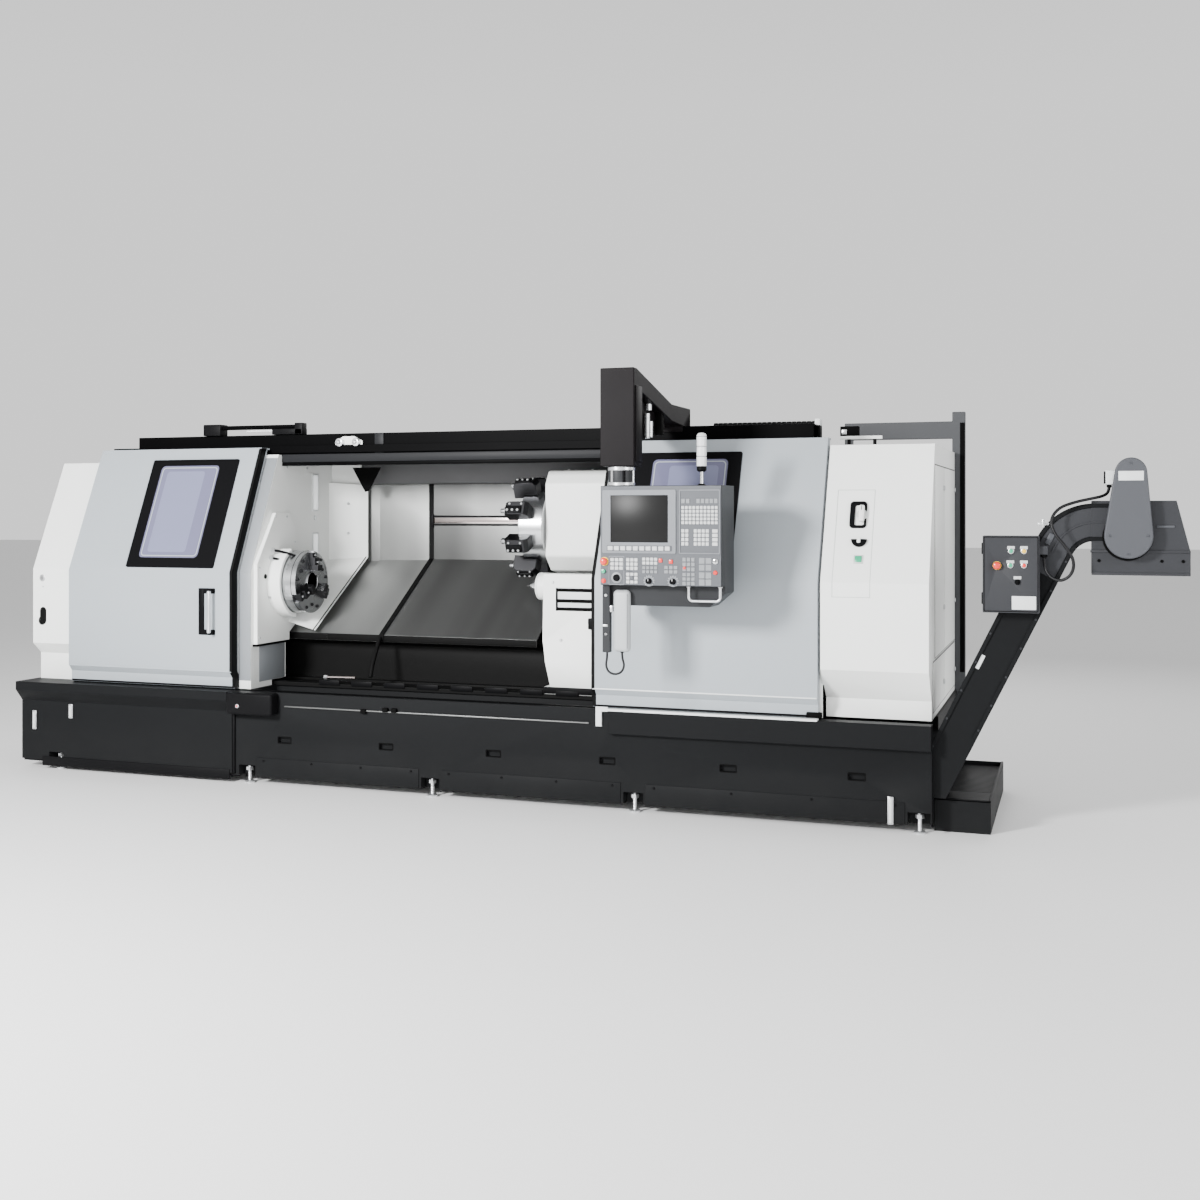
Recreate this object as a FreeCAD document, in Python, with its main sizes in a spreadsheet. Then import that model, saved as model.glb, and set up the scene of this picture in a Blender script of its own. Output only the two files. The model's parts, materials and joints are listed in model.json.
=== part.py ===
import FreeCAD, Part
import math
import os
import Sketcher

# A long-bed slant CNC turning lathe with its doors open, in millimetres.
# +X runs along the spindle from the headstock to the chip conveyor, -Y is the operator's side and +Z is up.
# The origin is on the floor, under the middle of the machine's length and depth.

doc = FreeCAD.newDocument("TurningLathe")
sheet = doc.addObject("Spreadsheet::Sheet", "Sizes")


class Size:
    """A length or angle kept as shares of sheet cells plus a number, so that it can be bound to the sheet."""

    worth = {}

    def __init__(self, shares, number=0.0):
        self.shares = {cell: share for cell, share in shares.items() if abs(share) > 1e-12}
        self.number = number

    def __add__(self, other):
        other = sized(other)
        shares = dict(self.shares)
        for cell, share in other.shares.items():
            shares[cell] = shares.get(cell, 0.0) + share
        return Size(shares, self.number + other.number)

    def __mul__(self, other):
        if isinstance(other, Size):
            return derived(f"({self.formula}) * ({other.formula})", self.value * other.value)
        return Size({cell: share * other for cell, share in self.shares.items()}, self.number * other)

    def __truediv__(self, other):
        if isinstance(other, Size):
            return derived(f"({self.formula}) / ({other.formula})", self.value / other.value)
        return self * (1.0 / other)

    def __neg__(self):
        return self * -1

    def __sub__(self, other):
        return self + -sized(other)

    def __rsub__(self, other):
        return sized(other) - self

    __radd__ = __add__
    __rmul__ = __mul__

    @property
    def value(self):
        return sum(Size.worth[cell] * share for cell, share in self.shares.items()) + self.number

    @property
    def formula(self):
        terms = [f"{share:.12g} * {cell}" for cell, share in self.shares.items()]
        if self.number or not terms:
            terms.append(f"{self.number:.12g}")
        return " + ".join(terms)


def sized(number):
    """A plain number as a Size."""
    return number if isinstance(number, Size) else Size({}, float(number))


def derived(formula, value):
    """A Size that a formula on the sheet's cells gives."""
    Size.worth[f"({formula})"] = value
    return Size({f"({formula})": 1.0})


def dim(alias, number):
    """Write one driving size in the next row of the sheet, under its alias."""
    row = len(Size.worth) + 1
    sheet.set(f"A{row}", alias)
    sheet.set(f"B{row}", str(number))
    sheet.setAlias(f"B{row}", alias)
    Size.worth[f"Sizes.{alias}"] = float(number)
    return Size({f"Sizes.{alias}": 1.0})


def cosine(angle):
    return derived(f"cos({angle.formula})", math.cos(math.radians(angle.value)))


def sine(angle):
    return derived(f"sin({angle.formula})", math.sin(math.radians(angle.value)))


# ---------------------------------------------------------------- driving sizes

base_length = dim("base_length", 6000)
head_reach = dim("head_reach", 1270)              # conveyor head past the base's right end
base_front = dim("base_front", 650)               # base's front face, in front of the origin
base_rear = dim("base_rear", 900)
base_top = dim("base_top", 585)
base_bottom = dim("base_bottom", 45)
ledge_reach = dim("ledge_reach", 80)
apron_step = dim("apron_step", 20)                # left apron, proud of the base
left_apron_length = dim("left_apron_length", 1660)
band_step = dim("band_step", 40)
band_height = dim("band_height", 135)
trough_width = dim("trough_width", 300)
trough_wall = dim("trough_wall", 50)
trough_floor = dim("trough_floor", 190)

spindle_y = dim("spindle_offset", -200)
spindle_z = dim("spindle_height", 1260)
spindle_radius = dim("spindle_radius", 90)
spindle_bore = dim("spindle_bore", 52)
flange_radius = dim("flange_radius", 150)
nose_radius = dim("nose_radius", 200)
housing_bore = dim("housing_bore", 130)
chuck_radius = dim("chuck_radius", 205)
chuck_bore = dim("chuck_bore", 60)
chuck_place = dim("chuck_place", 1805)            # back of the chuck, from the base's left end
chuck_thick = dim("chuck_thick", 150)
jaw_width = dim("jaw_width", 60)
jaw_slot = dim("jaw_slot", 30)
jaw_reach = dim("jaw_reach", 65)
running_fit = dim("running_fit", 0.05)
slide_gap = dim("slide_gap", 0.3)

cover_angle = dim("cover_angle", 33)              # slope of the way covers and of the bed under them
cover_edge_y = dim("cover_edge_y", -150)          # lower edge of the steel way covers
cover_edge_z = dim("cover_edge_z", 918)
cover_break_y = dim("cover_break_y", 577)         # where the covers turn upright
cover_top_z = dim("cover_top_z", 1916)
bed_depth = dim("bed_depth", 150)                 # from the covers down to the bed's slope
bed_front = dim("bed_front", 320)
way_width = dim("way_width", 60)
way_height = dim("way_height", 30)
tail_way_height = dim("tail_way_height", 15)
cover_sheet = dim("cover_sheet", 8)

cross_angle = dim("cross_angle", 45)              # slope of the cross slide
hub_distance = dim("hub_distance", 516)           # turret's axis from the spindle's axis
turret_radius = dim("turret_radius", 235)
tool_radius = dim("tool_radius", 340)
turret_shaft = dim("turret_shaft", 70)
turret_stations = 8
carriage_left = dim("carriage_left", -100)
carriage_width = dim("carriage_width", 850)

tail_left = dim("tail_left", 0)
tail_length = dim("tail_length", 550)
tail_nose = dim("tail_nose", 57)
tail_limit = dim("tail_limit", 83)                # sleeve radius, and the back of the tailstock from the axis
quill_radius = dim("quill_radius", 55)
centre_shank = dim("centre_shank", 20)

wall = dim("wall", 6)
cover_front = dim("cover_front", 572)             # fixed covers behind the doors
cover_roof = dim("cover_roof", 2100)
left_cover_front = dim("left_cover_front", 600)
left_cover_roof = dim("left_cover_roof", 2060)
break_z = dim("break_z", 1335)                    # where the fronts start to lean back
front_lean = dim("front_lean", 340)
door_top = dim("door_top", 2145)
left_door_width = dim("left_door_width", 1275)
right_door_width = dim("right_door_width", 1310)
left_door_place = dim("left_door_place", 1645)    # from the base's left end to the left door's opening side
right_door_edge = dim("right_door_edge", 445)
door_depth = dim("door_depth", 68)
door_sheet = dim("door_sheet", 4)
window_margin = dim("window_margin", 145)         # window from the door's opening side
window_width = dim("window_width", 675)
window_low = dim("window_low", 1358)
window_high = dim("window_high", 2068)
window_thick = dim("window_thick", 8)
chuck_wall_place = dim("chuck_wall_place", 1720)  # from the base's left end
wall_plate = dim("wall_plate", 15)
cabinet_left = dim("cabinet_left", 1770)
lintel_height = dim("lintel_height", 135)
lintel_depth = dim("lintel_depth", 160)

pendant_left = dim("pendant_left", 669)
pendant_width = dim("pendant_width", 673)
pendant_front = dim("pendant_front", 1140)
pendant_depth = dim("pendant_depth", 260)
pendant_low = dim("pendant_low", 1327)
pendant_high = dim("pendant_high", 1861)
face_thick = dim("face_thick", 10)
stop_travel = dim("stop_travel", 5)               # room behind an emergency stop's head
stop_head = dim("stop_head", 22)
arm_left = dim("arm_left", 669)
arm_width = dim("arm_width", 192)
arm_low = dim("arm_low", 1966)
arm_high = dim("arm_high", 2495)
swivel_radius = dim("swivel_radius", 70)

conveyor_width = dim("conveyor_width", 280)
conveyor_start = dim("conveyor_start", 1785)      # from the base's left end to the conveyor's tray
conveyor_angle = dim("conveyor_angle", 64)
conveyor_thick = dim("conveyor_thick", 195)
conveyor_tray = dim("conveyor_tray", 140)
conveyor_bend = dim("conveyor_bend", 120)         # inner radius of the bend into the head
head_floor = dim("head_floor", 1570)
conveyor_wall = dim("conveyor_wall", 4)
hood_low = dim("hood_low", 1396)
tank_length = dim("tank_length", 295)
tank_height = dim("tank_height", 177)
cable_diameter = dim("cable_diameter", 16)
handset_cord_diameter = dim("handset_cord_diameter", 12)

left = -(base_length + head_reach) / 2
right = left + base_length
head_end = right + head_reach
chuck_back = left + chuck_place
chuck_wall_x = left + chuck_wall_place
left_door_edge = left + left_door_place
front = -base_front
doc.recompute()


# ---------------------------------------------------------------- ways of making a piece

nodes = {}


def bind(thing, name, size):
    thing.setExpression(name, sized(size).formula)


def place(thing, base):
    """Bind a thing's place to the sheet."""
    for axis, size in zip("xyz", base):
        bind(thing, "Placement.Base." + axis, size)


def block(name, low, high):
    """A box between two opposite corners."""
    box = doc.addObject("Part::Box", name)
    for side, a, b in zip(("Length", "Width", "Height"), low, high):
        bind(box, side, b - sized(a))
    place(box, low)
    return box


TURNS = {
    "x": FreeCAD.Rotation(FreeCAD.Vector(0, 1, 0), 90),
    "y": FreeCAD.Rotation(FreeCAD.Vector(1, 0, 0), -90),
    "z": FreeCAD.Rotation(),
}


def rod(name, axis, start, length, radius, sweep=360):
    """A cylinder from a start point along a positive axis."""
    cylinder = doc.addObject("Part::Cylinder", name)
    bind(cylinder, "Radius", radius)
    bind(cylinder, "Height", length)
    bind(cylinder, "Angle", sweep)
    cylinder.Placement = FreeCAD.Placement(FreeCAD.Vector(), TURNS[axis])
    place(cylinder, start)
    return cylinder


PLANES = {"x": "YZ_Plane", "y": "XZ_Plane", "z": "XY_Plane"}


def draw_outline(sketch, outline):
    """Close a polygon in a sketch, each corner held at its distances from the sketch's origin."""
    corners = [(sized(a), sized(b)) for a, b in outline]
    points = [FreeCAD.Vector(a.value, b.value, 0) for a, b in corners]
    first = sketch.GeometryCount
    for point, following in zip(points, points[1:] + points[:1]):
        sketch.addGeometry(Part.LineSegment(point, following), False)
    for number in range(len(corners)):
        follower = first + (number + 1) % len(corners)
        sketch.addConstraint(Sketcher.Constraint("Coincident", first + number, 2, follower, 1))
    for number, corner in enumerate(corners, first):
        for kind, size in zip(("DistanceX", "DistanceY"), corner):
            held = sketch.addConstraint(Sketcher.Constraint(kind, -1, 1, number, 1, size.value))
            bind(sketch, f"Constraints[{held}]", size)


def draw_circle(sketch, centre, radius):
    """A circle in a sketch, held by its centre and radius."""
    a, b, r = (sized(size) for size in (*centre, radius))
    circle = Part.Circle(FreeCAD.Vector(a.value, b.value, 0), FreeCAD.Vector(0, 0, 1), r.value)
    number = sketch.addGeometry(circle, False)
    for kind, size in zip(("DistanceX", "DistanceY"), (a, b)):
        held = sketch.addConstraint(Sketcher.Constraint(kind, -1, 1, number, 3, size.value))
        bind(sketch, f"Constraints[{held}]", size)
    held = sketch.addConstraint(Sketcher.Constraint("Radius", number, r.value))
    bind(sketch, f"Constraints[{held}]", r)


def prism(name, axis, outline, start, end, holes=()):
    """A Body padded along an axis from one outline and any round holes in it, each (centre, radius)."""
    body = doc.addObject("PartDesign::Body", name)
    plane = next(item for item in body.Origin.OriginFeatures if item.Role == PLANES[axis])
    sketch = body.newObject("Sketcher::SketchObject", name + "_sketch")
    sketch.AttachmentSupport = [(plane, "")]
    sketch.MapMode = "FlatFace"
    bind(sketch, "AttachmentOffset.Base.z", -sized(end) if axis == "y" else start)
    draw_outline(sketch, outline)
    for centre, radius in holes:
        draw_circle(sketch, centre, radius)
    pad = body.newObject("PartDesign::Pad", name + "_pad")
    pad.Profile = sketch
    bind(pad, "Length", end - sized(start))
    return body


def fuse(name, *shapes):
    joined = doc.addObject("Part::MultiFuse", name)
    joined.Shapes = list(shapes)
    return joined


def cut(name, base, *tools):
    """A piece less its tools."""
    pared = doc.addObject("Part::Cut", name)
    pared.Base = base
    pared.Tool = tools[0] if len(tools) == 1 else fuse(name + "_tools", *tools)
    return pared


def common(name, one, other):
    shared = doc.addObject("Part::Common", name)
    shared.Base = one
    shared.Tool = other
    return shared


def group(name, *shapes):
    """Separate solids that share one node."""
    together = doc.addObject("Part::Compound", name)
    together.Links = list(shapes)
    return together


def publish(label, thing):
    thing.Label = label
    nodes[label] = thing


# ---------------------------------------------------------------- base frame and feet

trough_front = front + trough_wall
trough_rear = trough_front + trough_width
apron_end = left + left_apron_length
notch = dim("foot_notch", 70)
foot_step = dim("foot_step", 1287)
lifting_slots = 6
slot_place = dim("slot_place", 2033)              # first lifting slot, from the base's left end
slot_pitch = dim("slot_pitch", 714)
slot_width = dim("slot_width", 90)
slot_height = dim("slot_height", 36)
slot_low = dim("slot_low", 270)
slot_depth = dim("slot_depth", 25)
foot_places = [left + 285, left + 1758] + [left + 1758 + foot_step * n for n in (1, 2)] + [right - 66]

main_block = block("base_block", (left, front, base_bottom), (right, base_rear, base_top))
apron = prism(
    "left_apron", "x",
    [(front, base_bottom + 15), (front - apron_step, base_bottom + 15), (front - apron_step, base_top - 130),
     (front - ledge_reach, base_top - 55), (front - ledge_reach, base_top), (front, base_top)],
    left, apron_end)
band = block("right_band", (right - 1805, front - band_step, base_top - band_height), (right, front, base_top))
trough = block("trough", (left + 1750, trough_front, trough_floor), (right + 1, trough_rear, base_top + 1))
base_wall = dim("base_wall", 80)
bay_columns = 3
bay_rows = 2
bay_length = (base_length - base_wall * (bay_columns + 1)) / bay_columns
bay_width = (base_rear - trough_rear - base_wall * (bay_rows + 1)) / bay_rows
hollows = []
for row in range(bay_rows):
    for column in range(bay_columns):
        x = left + base_wall + (bay_length + base_wall) * column
        y = trough_rear + base_wall + (bay_width + base_wall) * row
        hollows.append(block(f"bay_{row}_{column}", (x, y, base_bottom - 1),
                             (x + bay_length, y + bay_width, base_top - base_wall)))
for number, x in enumerate(foot_places):
    for side, low, high in (("front", front - apron_step - 1, front + notch),
                            ("rear", base_rear - notch, base_rear + 1)):
        hollows.append(block(f"notch_{side}_{number}", (x - 60, low, base_bottom - 1),
                             (x + 60, high, base_bottom + notch)))
for number in range(lifting_slots):
    x = left + slot_place + slot_pitch * number
    hollows.append(block(f"lifting_slot_{number}", (x - slot_width / 2, front - 1, slot_low),
                         (x + slot_width / 2, front + slot_depth, slot_low + slot_height)))
publish("base_frame", cut("base_frame", fuse("base_solid", main_block, apron, band), trough, *hollows))

feet = []
for number, x in enumerate(foot_places):
    for side, y in (("front", front + notch / 2), ("rear", base_rear - notch / 2)):
        pad = rod(f"pad_{side}_{number}", "z", (x, y, 0), 18, 32)
        screw = rod(f"screw_{side}_{number}", "z", (x, y, 10), base_bottom + notch - 10, 12)
        nut = rod(f"nut_{side}_{number}", "z", (x, y, base_bottom + notch - 34), 22, 24)
        feet.append(fuse(f"foot_{side}_{number}", pad, screw, nut))
publish("levelling_feet", group("levelling_feet", *feet))

publish("indicator_box", block(
    "indicator_box", (apron_end, front - 90, base_top - 139), (apron_end + 332, front, base_top)))

# ---------------------------------------------------------------- bed with its ways

slope_cos = cosine(cover_angle)
slope_sin = sine(cover_angle)


def on_slope(along, above):
    """A point in the section: along the way covers' slope from their lower edge, and above their surface."""
    return (cover_edge_y + slope_cos * along - slope_sin * above,
            cover_edge_z + slope_sin * along + slope_cos * above)


def slope_z(y, above=0):
    """Height of the covers' slope, or of a plane above it, at a depth y."""
    return cover_edge_z + (y - cover_edge_y) * (slope_sin / slope_cos) + sized(above) / slope_cos


bed_foot = base_top + 10
bed_step_y = dim("bed_step_y", 5)
bed_slope = dim("bed_slope", 860)                 # length of the bed's slope
bed_crest = on_slope(bed_slope, -bed_depth)[1]
bed_body = prism(
    "bed_body", "x",
    [(-bed_front, base_top), (-bed_front, bed_foot), (bed_step_y, bed_foot), (bed_step_y, slope_z(bed_step_y, -bed_depth)),
     on_slope(bed_slope, -bed_depth), (740, bed_crest), (880, 1100), (880, base_top)],
    left + 385, right - 115)
way_start = left + 1535
way_end = right - 165
ways = []
for number, along in enumerate((150, 650)):
    ways.append(prism(
        f"carriage_way_{number}", "x",
        [on_slope(along, -bed_depth), on_slope(along, way_height - bed_depth),
         on_slope(along + way_width, way_height - bed_depth), on_slope(along + way_width, -bed_depth)],
        way_start, way_end))
for number, y in enumerate((-bed_front, -sized(70))):
    ways.append(block(f"tail_way_{number}", (way_start, y, bed_foot),
                      (way_end, y + way_width, bed_foot + tail_way_height)))
publish("bed_casting", fuse("bed_casting", bed_body, *ways))

# ---------------------------------------------------------------- headstock, spindle and chuck

chuck_face = chuck_back + chuck_thick
nose_end = chuck_back - 100
headstock_right = nose_end - 320
headstock_left = headstock_right - 800
head_box = prism(
    "headstock_box", "x",
    [(-bed_front, bed_foot), (bed_step_y, bed_foot), (bed_step_y, slope_z(bed_step_y, -bed_depth)),
     (430, slope_z(430, -bed_depth)), (430, 1300), (300, 1480), (-380, 1480), (-470, 1390), (-470, 980),
     (-bed_front - 60, 890), (-bed_front, 890)],
    headstock_left, headstock_right)
nose = rod("headstock_nose", "x", (headstock_right, spindle_y, spindle_z), nose_end - headstock_right, nose_radius)
bore = rod("headstock_bore", "x", (headstock_left - 1, spindle_y, spindle_z),
           nose_end - headstock_left + 2, housing_bore)
publish("headstock_casting", cut("headstock_casting", fuse("headstock_solid", head_box, nose), bore))


def tube(name, axis, start, length, outer, inner):
    """A ring or sleeve along an axis."""
    return cut(name, rod(name + "_outside", axis, start, length, outer),
               rod(name + "_inside", axis, start, length, inner))


bearings = [tube(f"bearing_{n}", "x", (x, spindle_y, spindle_z), 80, housing_bore, spindle_radius + running_fit)
            for n, x in enumerate((headstock_left + 20, headstock_right + 130))]
publish("spindle_bearings", group("spindle_bearings", *bearings))

pulley_left = headstock_left - 150
pulley_width = dim("pulley_width", 100)
shaft_end = pulley_left - 20
shaft = rod("shaft", "x", (shaft_end, spindle_y, spindle_z), chuck_back - shaft_end, spindle_radius)
flange = rod("spindle_flange", "x", (nose_end + 5, spindle_y, spindle_z), chuck_back - nose_end - 5, flange_radius)
through = rod("spindle_through", "x", (shaft_end - 1, spindle_y, spindle_z), chuck_back - shaft_end + 2, spindle_bore)
publish("spindle_shaft", cut("spindle_shaft", fuse("shaft_solid", shaft, flange), through))

spindle_pulley_radius = dim("spindle_pulley_radius", 160)
publish("spindle_pulley", tube("spindle_pulley", "x", (pulley_left, spindle_y, spindle_z), pulley_width,
                               spindle_pulley_radius, spindle_radius))


def around_spindle(thing, angle):
    """Turn a piece that is drawn upright about the X axis, and lift it to the spindle's axis."""
    thing.Placement = FreeCAD.Placement(FreeCAD.Vector(), FreeCAD.Rotation(FreeCAD.Vector(1, 0, 0), angle))
    place(thing, (0, spindle_y, spindle_z))
    return thing


slots = []
for number in range(3):
    slot = prism(f"jaw_slot_{number}", "y",
                 [(chuck_face - jaw_slot, chuck_bore), (chuck_face + 1, chuck_bore),
                  (chuck_face + 1, chuck_radius + 1), (chuck_face - jaw_slot, chuck_radius + 1)],
                 -jaw_width / 2, jaw_width / 2)
    slots.append(around_spindle(slot, 120 * number))
chuck_solid = rod("chuck_solid", "x", (chuck_back, spindle_y, spindle_z), chuck_thick, chuck_radius)
chuck_through = rod("chuck_through", "x", (chuck_back - 1, spindle_y, spindle_z), chuck_thick + 2, chuck_bore)
publish("chuck_body", cut("chuck_body", chuck_solid, chuck_through, *slots))

jaw_base = chuck_face - jaw_slot + slide_gap
jaw_inside = dim("jaw_inside", 74)
jaw_outside = chuck_radius - 13
for number in range(3):
    jaw = prism(f"chuck_jaw_{number + 1}", "y",
                [(jaw_base, jaw_inside), (chuck_face + jaw_reach, jaw_inside), (chuck_face + jaw_reach, jaw_inside + 38),
                 (chuck_face + jaw_reach - 22, jaw_inside + 38), (chuck_face + jaw_reach - 22, jaw_outside - 30),
                 (chuck_face + jaw_reach - 40, jaw_outside - 30), (chuck_face + jaw_reach - 40, jaw_outside),
                 (jaw_base, jaw_outside)],
                slide_gap - jaw_width / 2, jaw_width / 2 - slide_gap)
    publish(f"chuck_jaw_{number + 1}", around_spindle(jaw, 120 * number))

# ---------------------------------------------------------------- spindle motor, pulley and belt

motor_y = dim("motor_y", 690)
motor_z = dim("motor_z", 1435)
motor_radius = dim("motor_radius", 145)
motor_shaft = dim("motor_shaft", 30)
motor_pulley_radius = dim("motor_pulley_radius", 85)
motor_barrel = rod("motor_barrel", "x", (headstock_left + 30, motor_y, motor_z), 560, motor_radius)
motor_foot = block("motor_foot", (headstock_left + 80, motor_y - 30, bed_crest),
                   (headstock_left + 540, motor_y + 50, motor_z - 100))
motor_bore = rod("motor_bore", "x", (headstock_left + 29, motor_y, motor_z), 80, motor_shaft + running_fit)
publish("spindle_motor", cut("spindle_motor", fuse("motor_solid", motor_barrel, motor_foot), motor_bore))

motor_wheel = rod("motor_wheel", "x", (pulley_left, motor_y, motor_z), pulley_width, motor_pulley_radius)
motor_axle = rod("motor_axle", "x", (pulley_left, motor_y, motor_z), headstock_left + 100 - pulley_left, motor_shaft)
publish("motor_pulley", fuse("motor_pulley", motor_wheel, motor_axle))


def round_link(centre_a, radius_a, centre_b, radius_b):
    """A face bounded by two circles' outer tangents and the far arcs between them, in its own plane."""
    ax, ay, bx, by, ra, rb = (sized(s).value for s in (*centre_a, *centre_b, radius_a, radius_b))
    heading = math.atan2(by - ay, bx - ax)
    spread = math.acos((ra - rb) / math.hypot(bx - ax, by - ay))

    def rim(x, y, radius, angle):
        return FreeCAD.Vector(x + radius * math.cos(angle), y + radius * math.sin(angle), 0)

    upper_a, lower_a = rim(ax, ay, ra, heading + spread), rim(ax, ay, ra, heading - spread)
    upper_b, lower_b = rim(bx, by, rb, heading + spread), rim(bx, by, rb, heading - spread)
    edges = [Part.Arc(upper_a, rim(ax, ay, ra, heading + math.pi), lower_a).toShape(),
             Part.LineSegment(lower_a, lower_b).toShape(),
             Part.Arc(lower_b, rim(bx, by, rb, heading), upper_b).toShape(),
             Part.LineSegment(upper_b, upper_a).toShape()]
    return Part.Face(Part.Wire(edges))


def raised(name, axis, shape, start):
    """A Part::Feature drawn in the plane across an axis and moved to its start along it."""
    feature = doc.addObject("Part::Feature", name)
    feature.Shape = shape
    turn = {"x": FreeCAD.Rotation(FreeCAD.Vector(1, 1, 1), 120), "y": FreeCAD.Rotation(FreeCAD.Vector(1, 0, 0), 90)}
    step = {"x": FreeCAD.Vector(1, 0, 0), "y": FreeCAD.Vector(0, 1, 0)}[axis]
    feature.Placement = FreeCAD.Placement(step * sized(start).value, turn[axis])
    return feature


belt_gap = 0.3
belt_thick = dim("belt_thick", 10)
belt_width = pulley_width - 30
pulley_centres = ((spindle_y, spindle_z), (motor_y, motor_z))
belt_faces = [round_link(pulley_centres[0], spindle_pulley_radius + out, pulley_centres[1], motor_pulley_radius + out)
              for out in (belt_thick, belt_gap)]
belt_shapes = [face.extrude(FreeCAD.Vector(0, 0, belt_width.value)) for face in belt_faces]
publish("drive_belt", raised("drive_belt", "x", belt_shapes[0].cut(belt_shapes[1]), pulley_left + 15))

# ---------------------------------------------------------------- fixed covers and walls

lean_rate = front_lean / (door_top - break_z)


def front_at(face, z):
    """Depth of a leaning front at a height above its break."""
    return face + (z - break_z) * lean_rate


def shell_outline(face, roof, back, floor, fold=None, inset=0):
    """The section of a cover: front, leaning upper front, roof and back. A fold draws the foot in by inset."""
    foot = [(face, floor)]
    if fold:
        foot = [(face + inset, floor), (face + inset, fold[0]), (face, fold[1])]
    return foot + [(face, break_z), (front_at(face, roof), roof), (back, roof), (back, floor)]


left_fold = (sized(761), sized(833))
left_cover_left = left + 30
left_cover_right = left + 365
left_outside = prism("left_cover_outside", "x",
                     shell_outline(-left_cover_front, left_cover_roof, base_rear, base_top, left_fold, 75),
                     left_cover_left, left_cover_right)
left_inside = prism("left_cover_inside", "x",
                    shell_outline(wall - left_cover_front, left_cover_roof - wall, base_rear - wall,
                                  base_top - 1, left_fold, 75),
                    left_cover_left + wall, left_cover_right + 1)
grommet = rod("left_cover_grommet", "y", (left_cover_left + 75, -left_cover_front - 1, 985), wall + 2, 30)
bar_hole = rod("bar_hole", "x", (left_cover_left - 1, spindle_y, spindle_z), wall + 2, spindle_bore + 18)
publish("left_end_cover", cut("left_end_cover", left_outside, left_inside, grommet, bar_hole))

head_outside = prism("head_cover_outside", "x", shell_outline(-cover_front, cover_roof, base_rear, base_top),
                     left_cover_right, chuck_wall_x)
head_inside = prism("head_cover_inside", "x",
                    shell_outline(wall - cover_front, cover_roof - wall, base_rear - wall, base_top - 1),
                    left_cover_right - 1, chuck_wall_x + 1)
publish("headstock_cover", cut("headstock_cover", head_outside, head_inside))

wall_clear = dim("wall_clear", 11)                # from the steel covers to the wall's cut edge
wall_back = cover_break_y - 17
wall_right = chuck_wall_x + wall_plate
wall_face = prism(
    "chuck_wall_plate", "x",
    [(-cover_front, base_top), (trough_rear - 30, base_top), (trough_rear - 30, 620), (cover_edge_y - 15, 620),
     (cover_edge_y - 15, slope_z(cover_edge_y - 15, wall_clear)), (wall_back, slope_z(wall_back, wall_clear)),
     (wall_back, cover_roof), (front_at(-cover_front, cover_roof), cover_roof), (-cover_front, break_z)],
    chuck_wall_x, wall_right, holes=[((spindle_y, spindle_z), chuck_radius + 10)])
return_blank = prism("wall_return_blank", "z",
                     [(wall_right - 5, wall_back - 130), (wall_right + 170, wall_back - 12),
                      (wall_right + 170, wall_back), (wall_right - 5, wall_back - 118)],
                     900, cover_roof)
return_section = prism("wall_return_section", "x",
                       [(300, slope_z(300, wall_clear)), (wall_back, slope_z(wall_back, wall_clear)),
                        (wall_back, cover_roof - wall), (300, cover_roof - wall)],
                       wall_right - 5, wall_right + 180)
publish("chuck_wall", fuse("chuck_wall", wall_face, common("wall_return", return_blank, return_section)))

guard_plate = prism(
    "guard_plate", "x",
    [(-545, 870), (-545, 1385), (-330, 1715), (-150, 1715), (-100, 1600), (-60, 1450), (-60, slope_z(-60, wall_clear)),
     (cover_edge_y - 15, slope_z(cover_edge_y - 15, wall_clear)), (cover_edge_y - 15, 870)],
    wall_right, wall_right + 30)
guard_hole = rod("guard_hole", "x", (wall_right - 1, spindle_y, spindle_z), 32, chuck_radius + 10)
publish("chuck_guard", cut("chuck_guard", guard_plate, guard_hole))

lintel_y = dim("lintel_y", -190)
lintel_top = cover_roof + lintel_height
lintel_left = left + 575
lintel_right = right - 715
lintel_wall = 8
lintel_outside = block("lintel_outside", (lintel_left, lintel_y, cover_roof),
                       (lintel_right, lintel_y + lintel_depth, lintel_top))
lintel_inside = block("lintel_inside", (lintel_left - 1, lintel_y + lintel_wall, cover_roof + lintel_wall),
                      (lintel_right + 1, lintel_y + lintel_depth - lintel_wall, lintel_top - lintel_wall))
publish("lintel_beam", cut("lintel_beam", lintel_outside, lintel_inside))

left_door_left = left_door_edge - left_door_width
right_door_right = right_door_edge + right_door_width
top_rail = block("top_rail", (left_door_left + 15, lintel_y - 25, cover_roof + 10),
                 (lintel_right, lintel_y, cover_roof + 60))
foot_rail = block("foot_rail", (left_door_left + 15, front + 30, base_top),
                  (right_door_right + 15, front + 46, base_top + 6.7))
publish("door_rails", group("door_rails", top_rail, foot_rail))

roof_front = lintel_y
publish("rear_cover", prism(
    "rear_cover", "x",
    [(roof_front, cover_roof - 70), (roof_front + wall, cover_roof - 70), (roof_front + wall, cover_roof - wall),
     (base_rear - wall, cover_roof - wall), (base_rear - wall, base_top), (base_rear, base_top),
     (base_rear, cover_roof), (roof_front, cover_roof)],
    wall_right, right_door_edge + 55))

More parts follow.
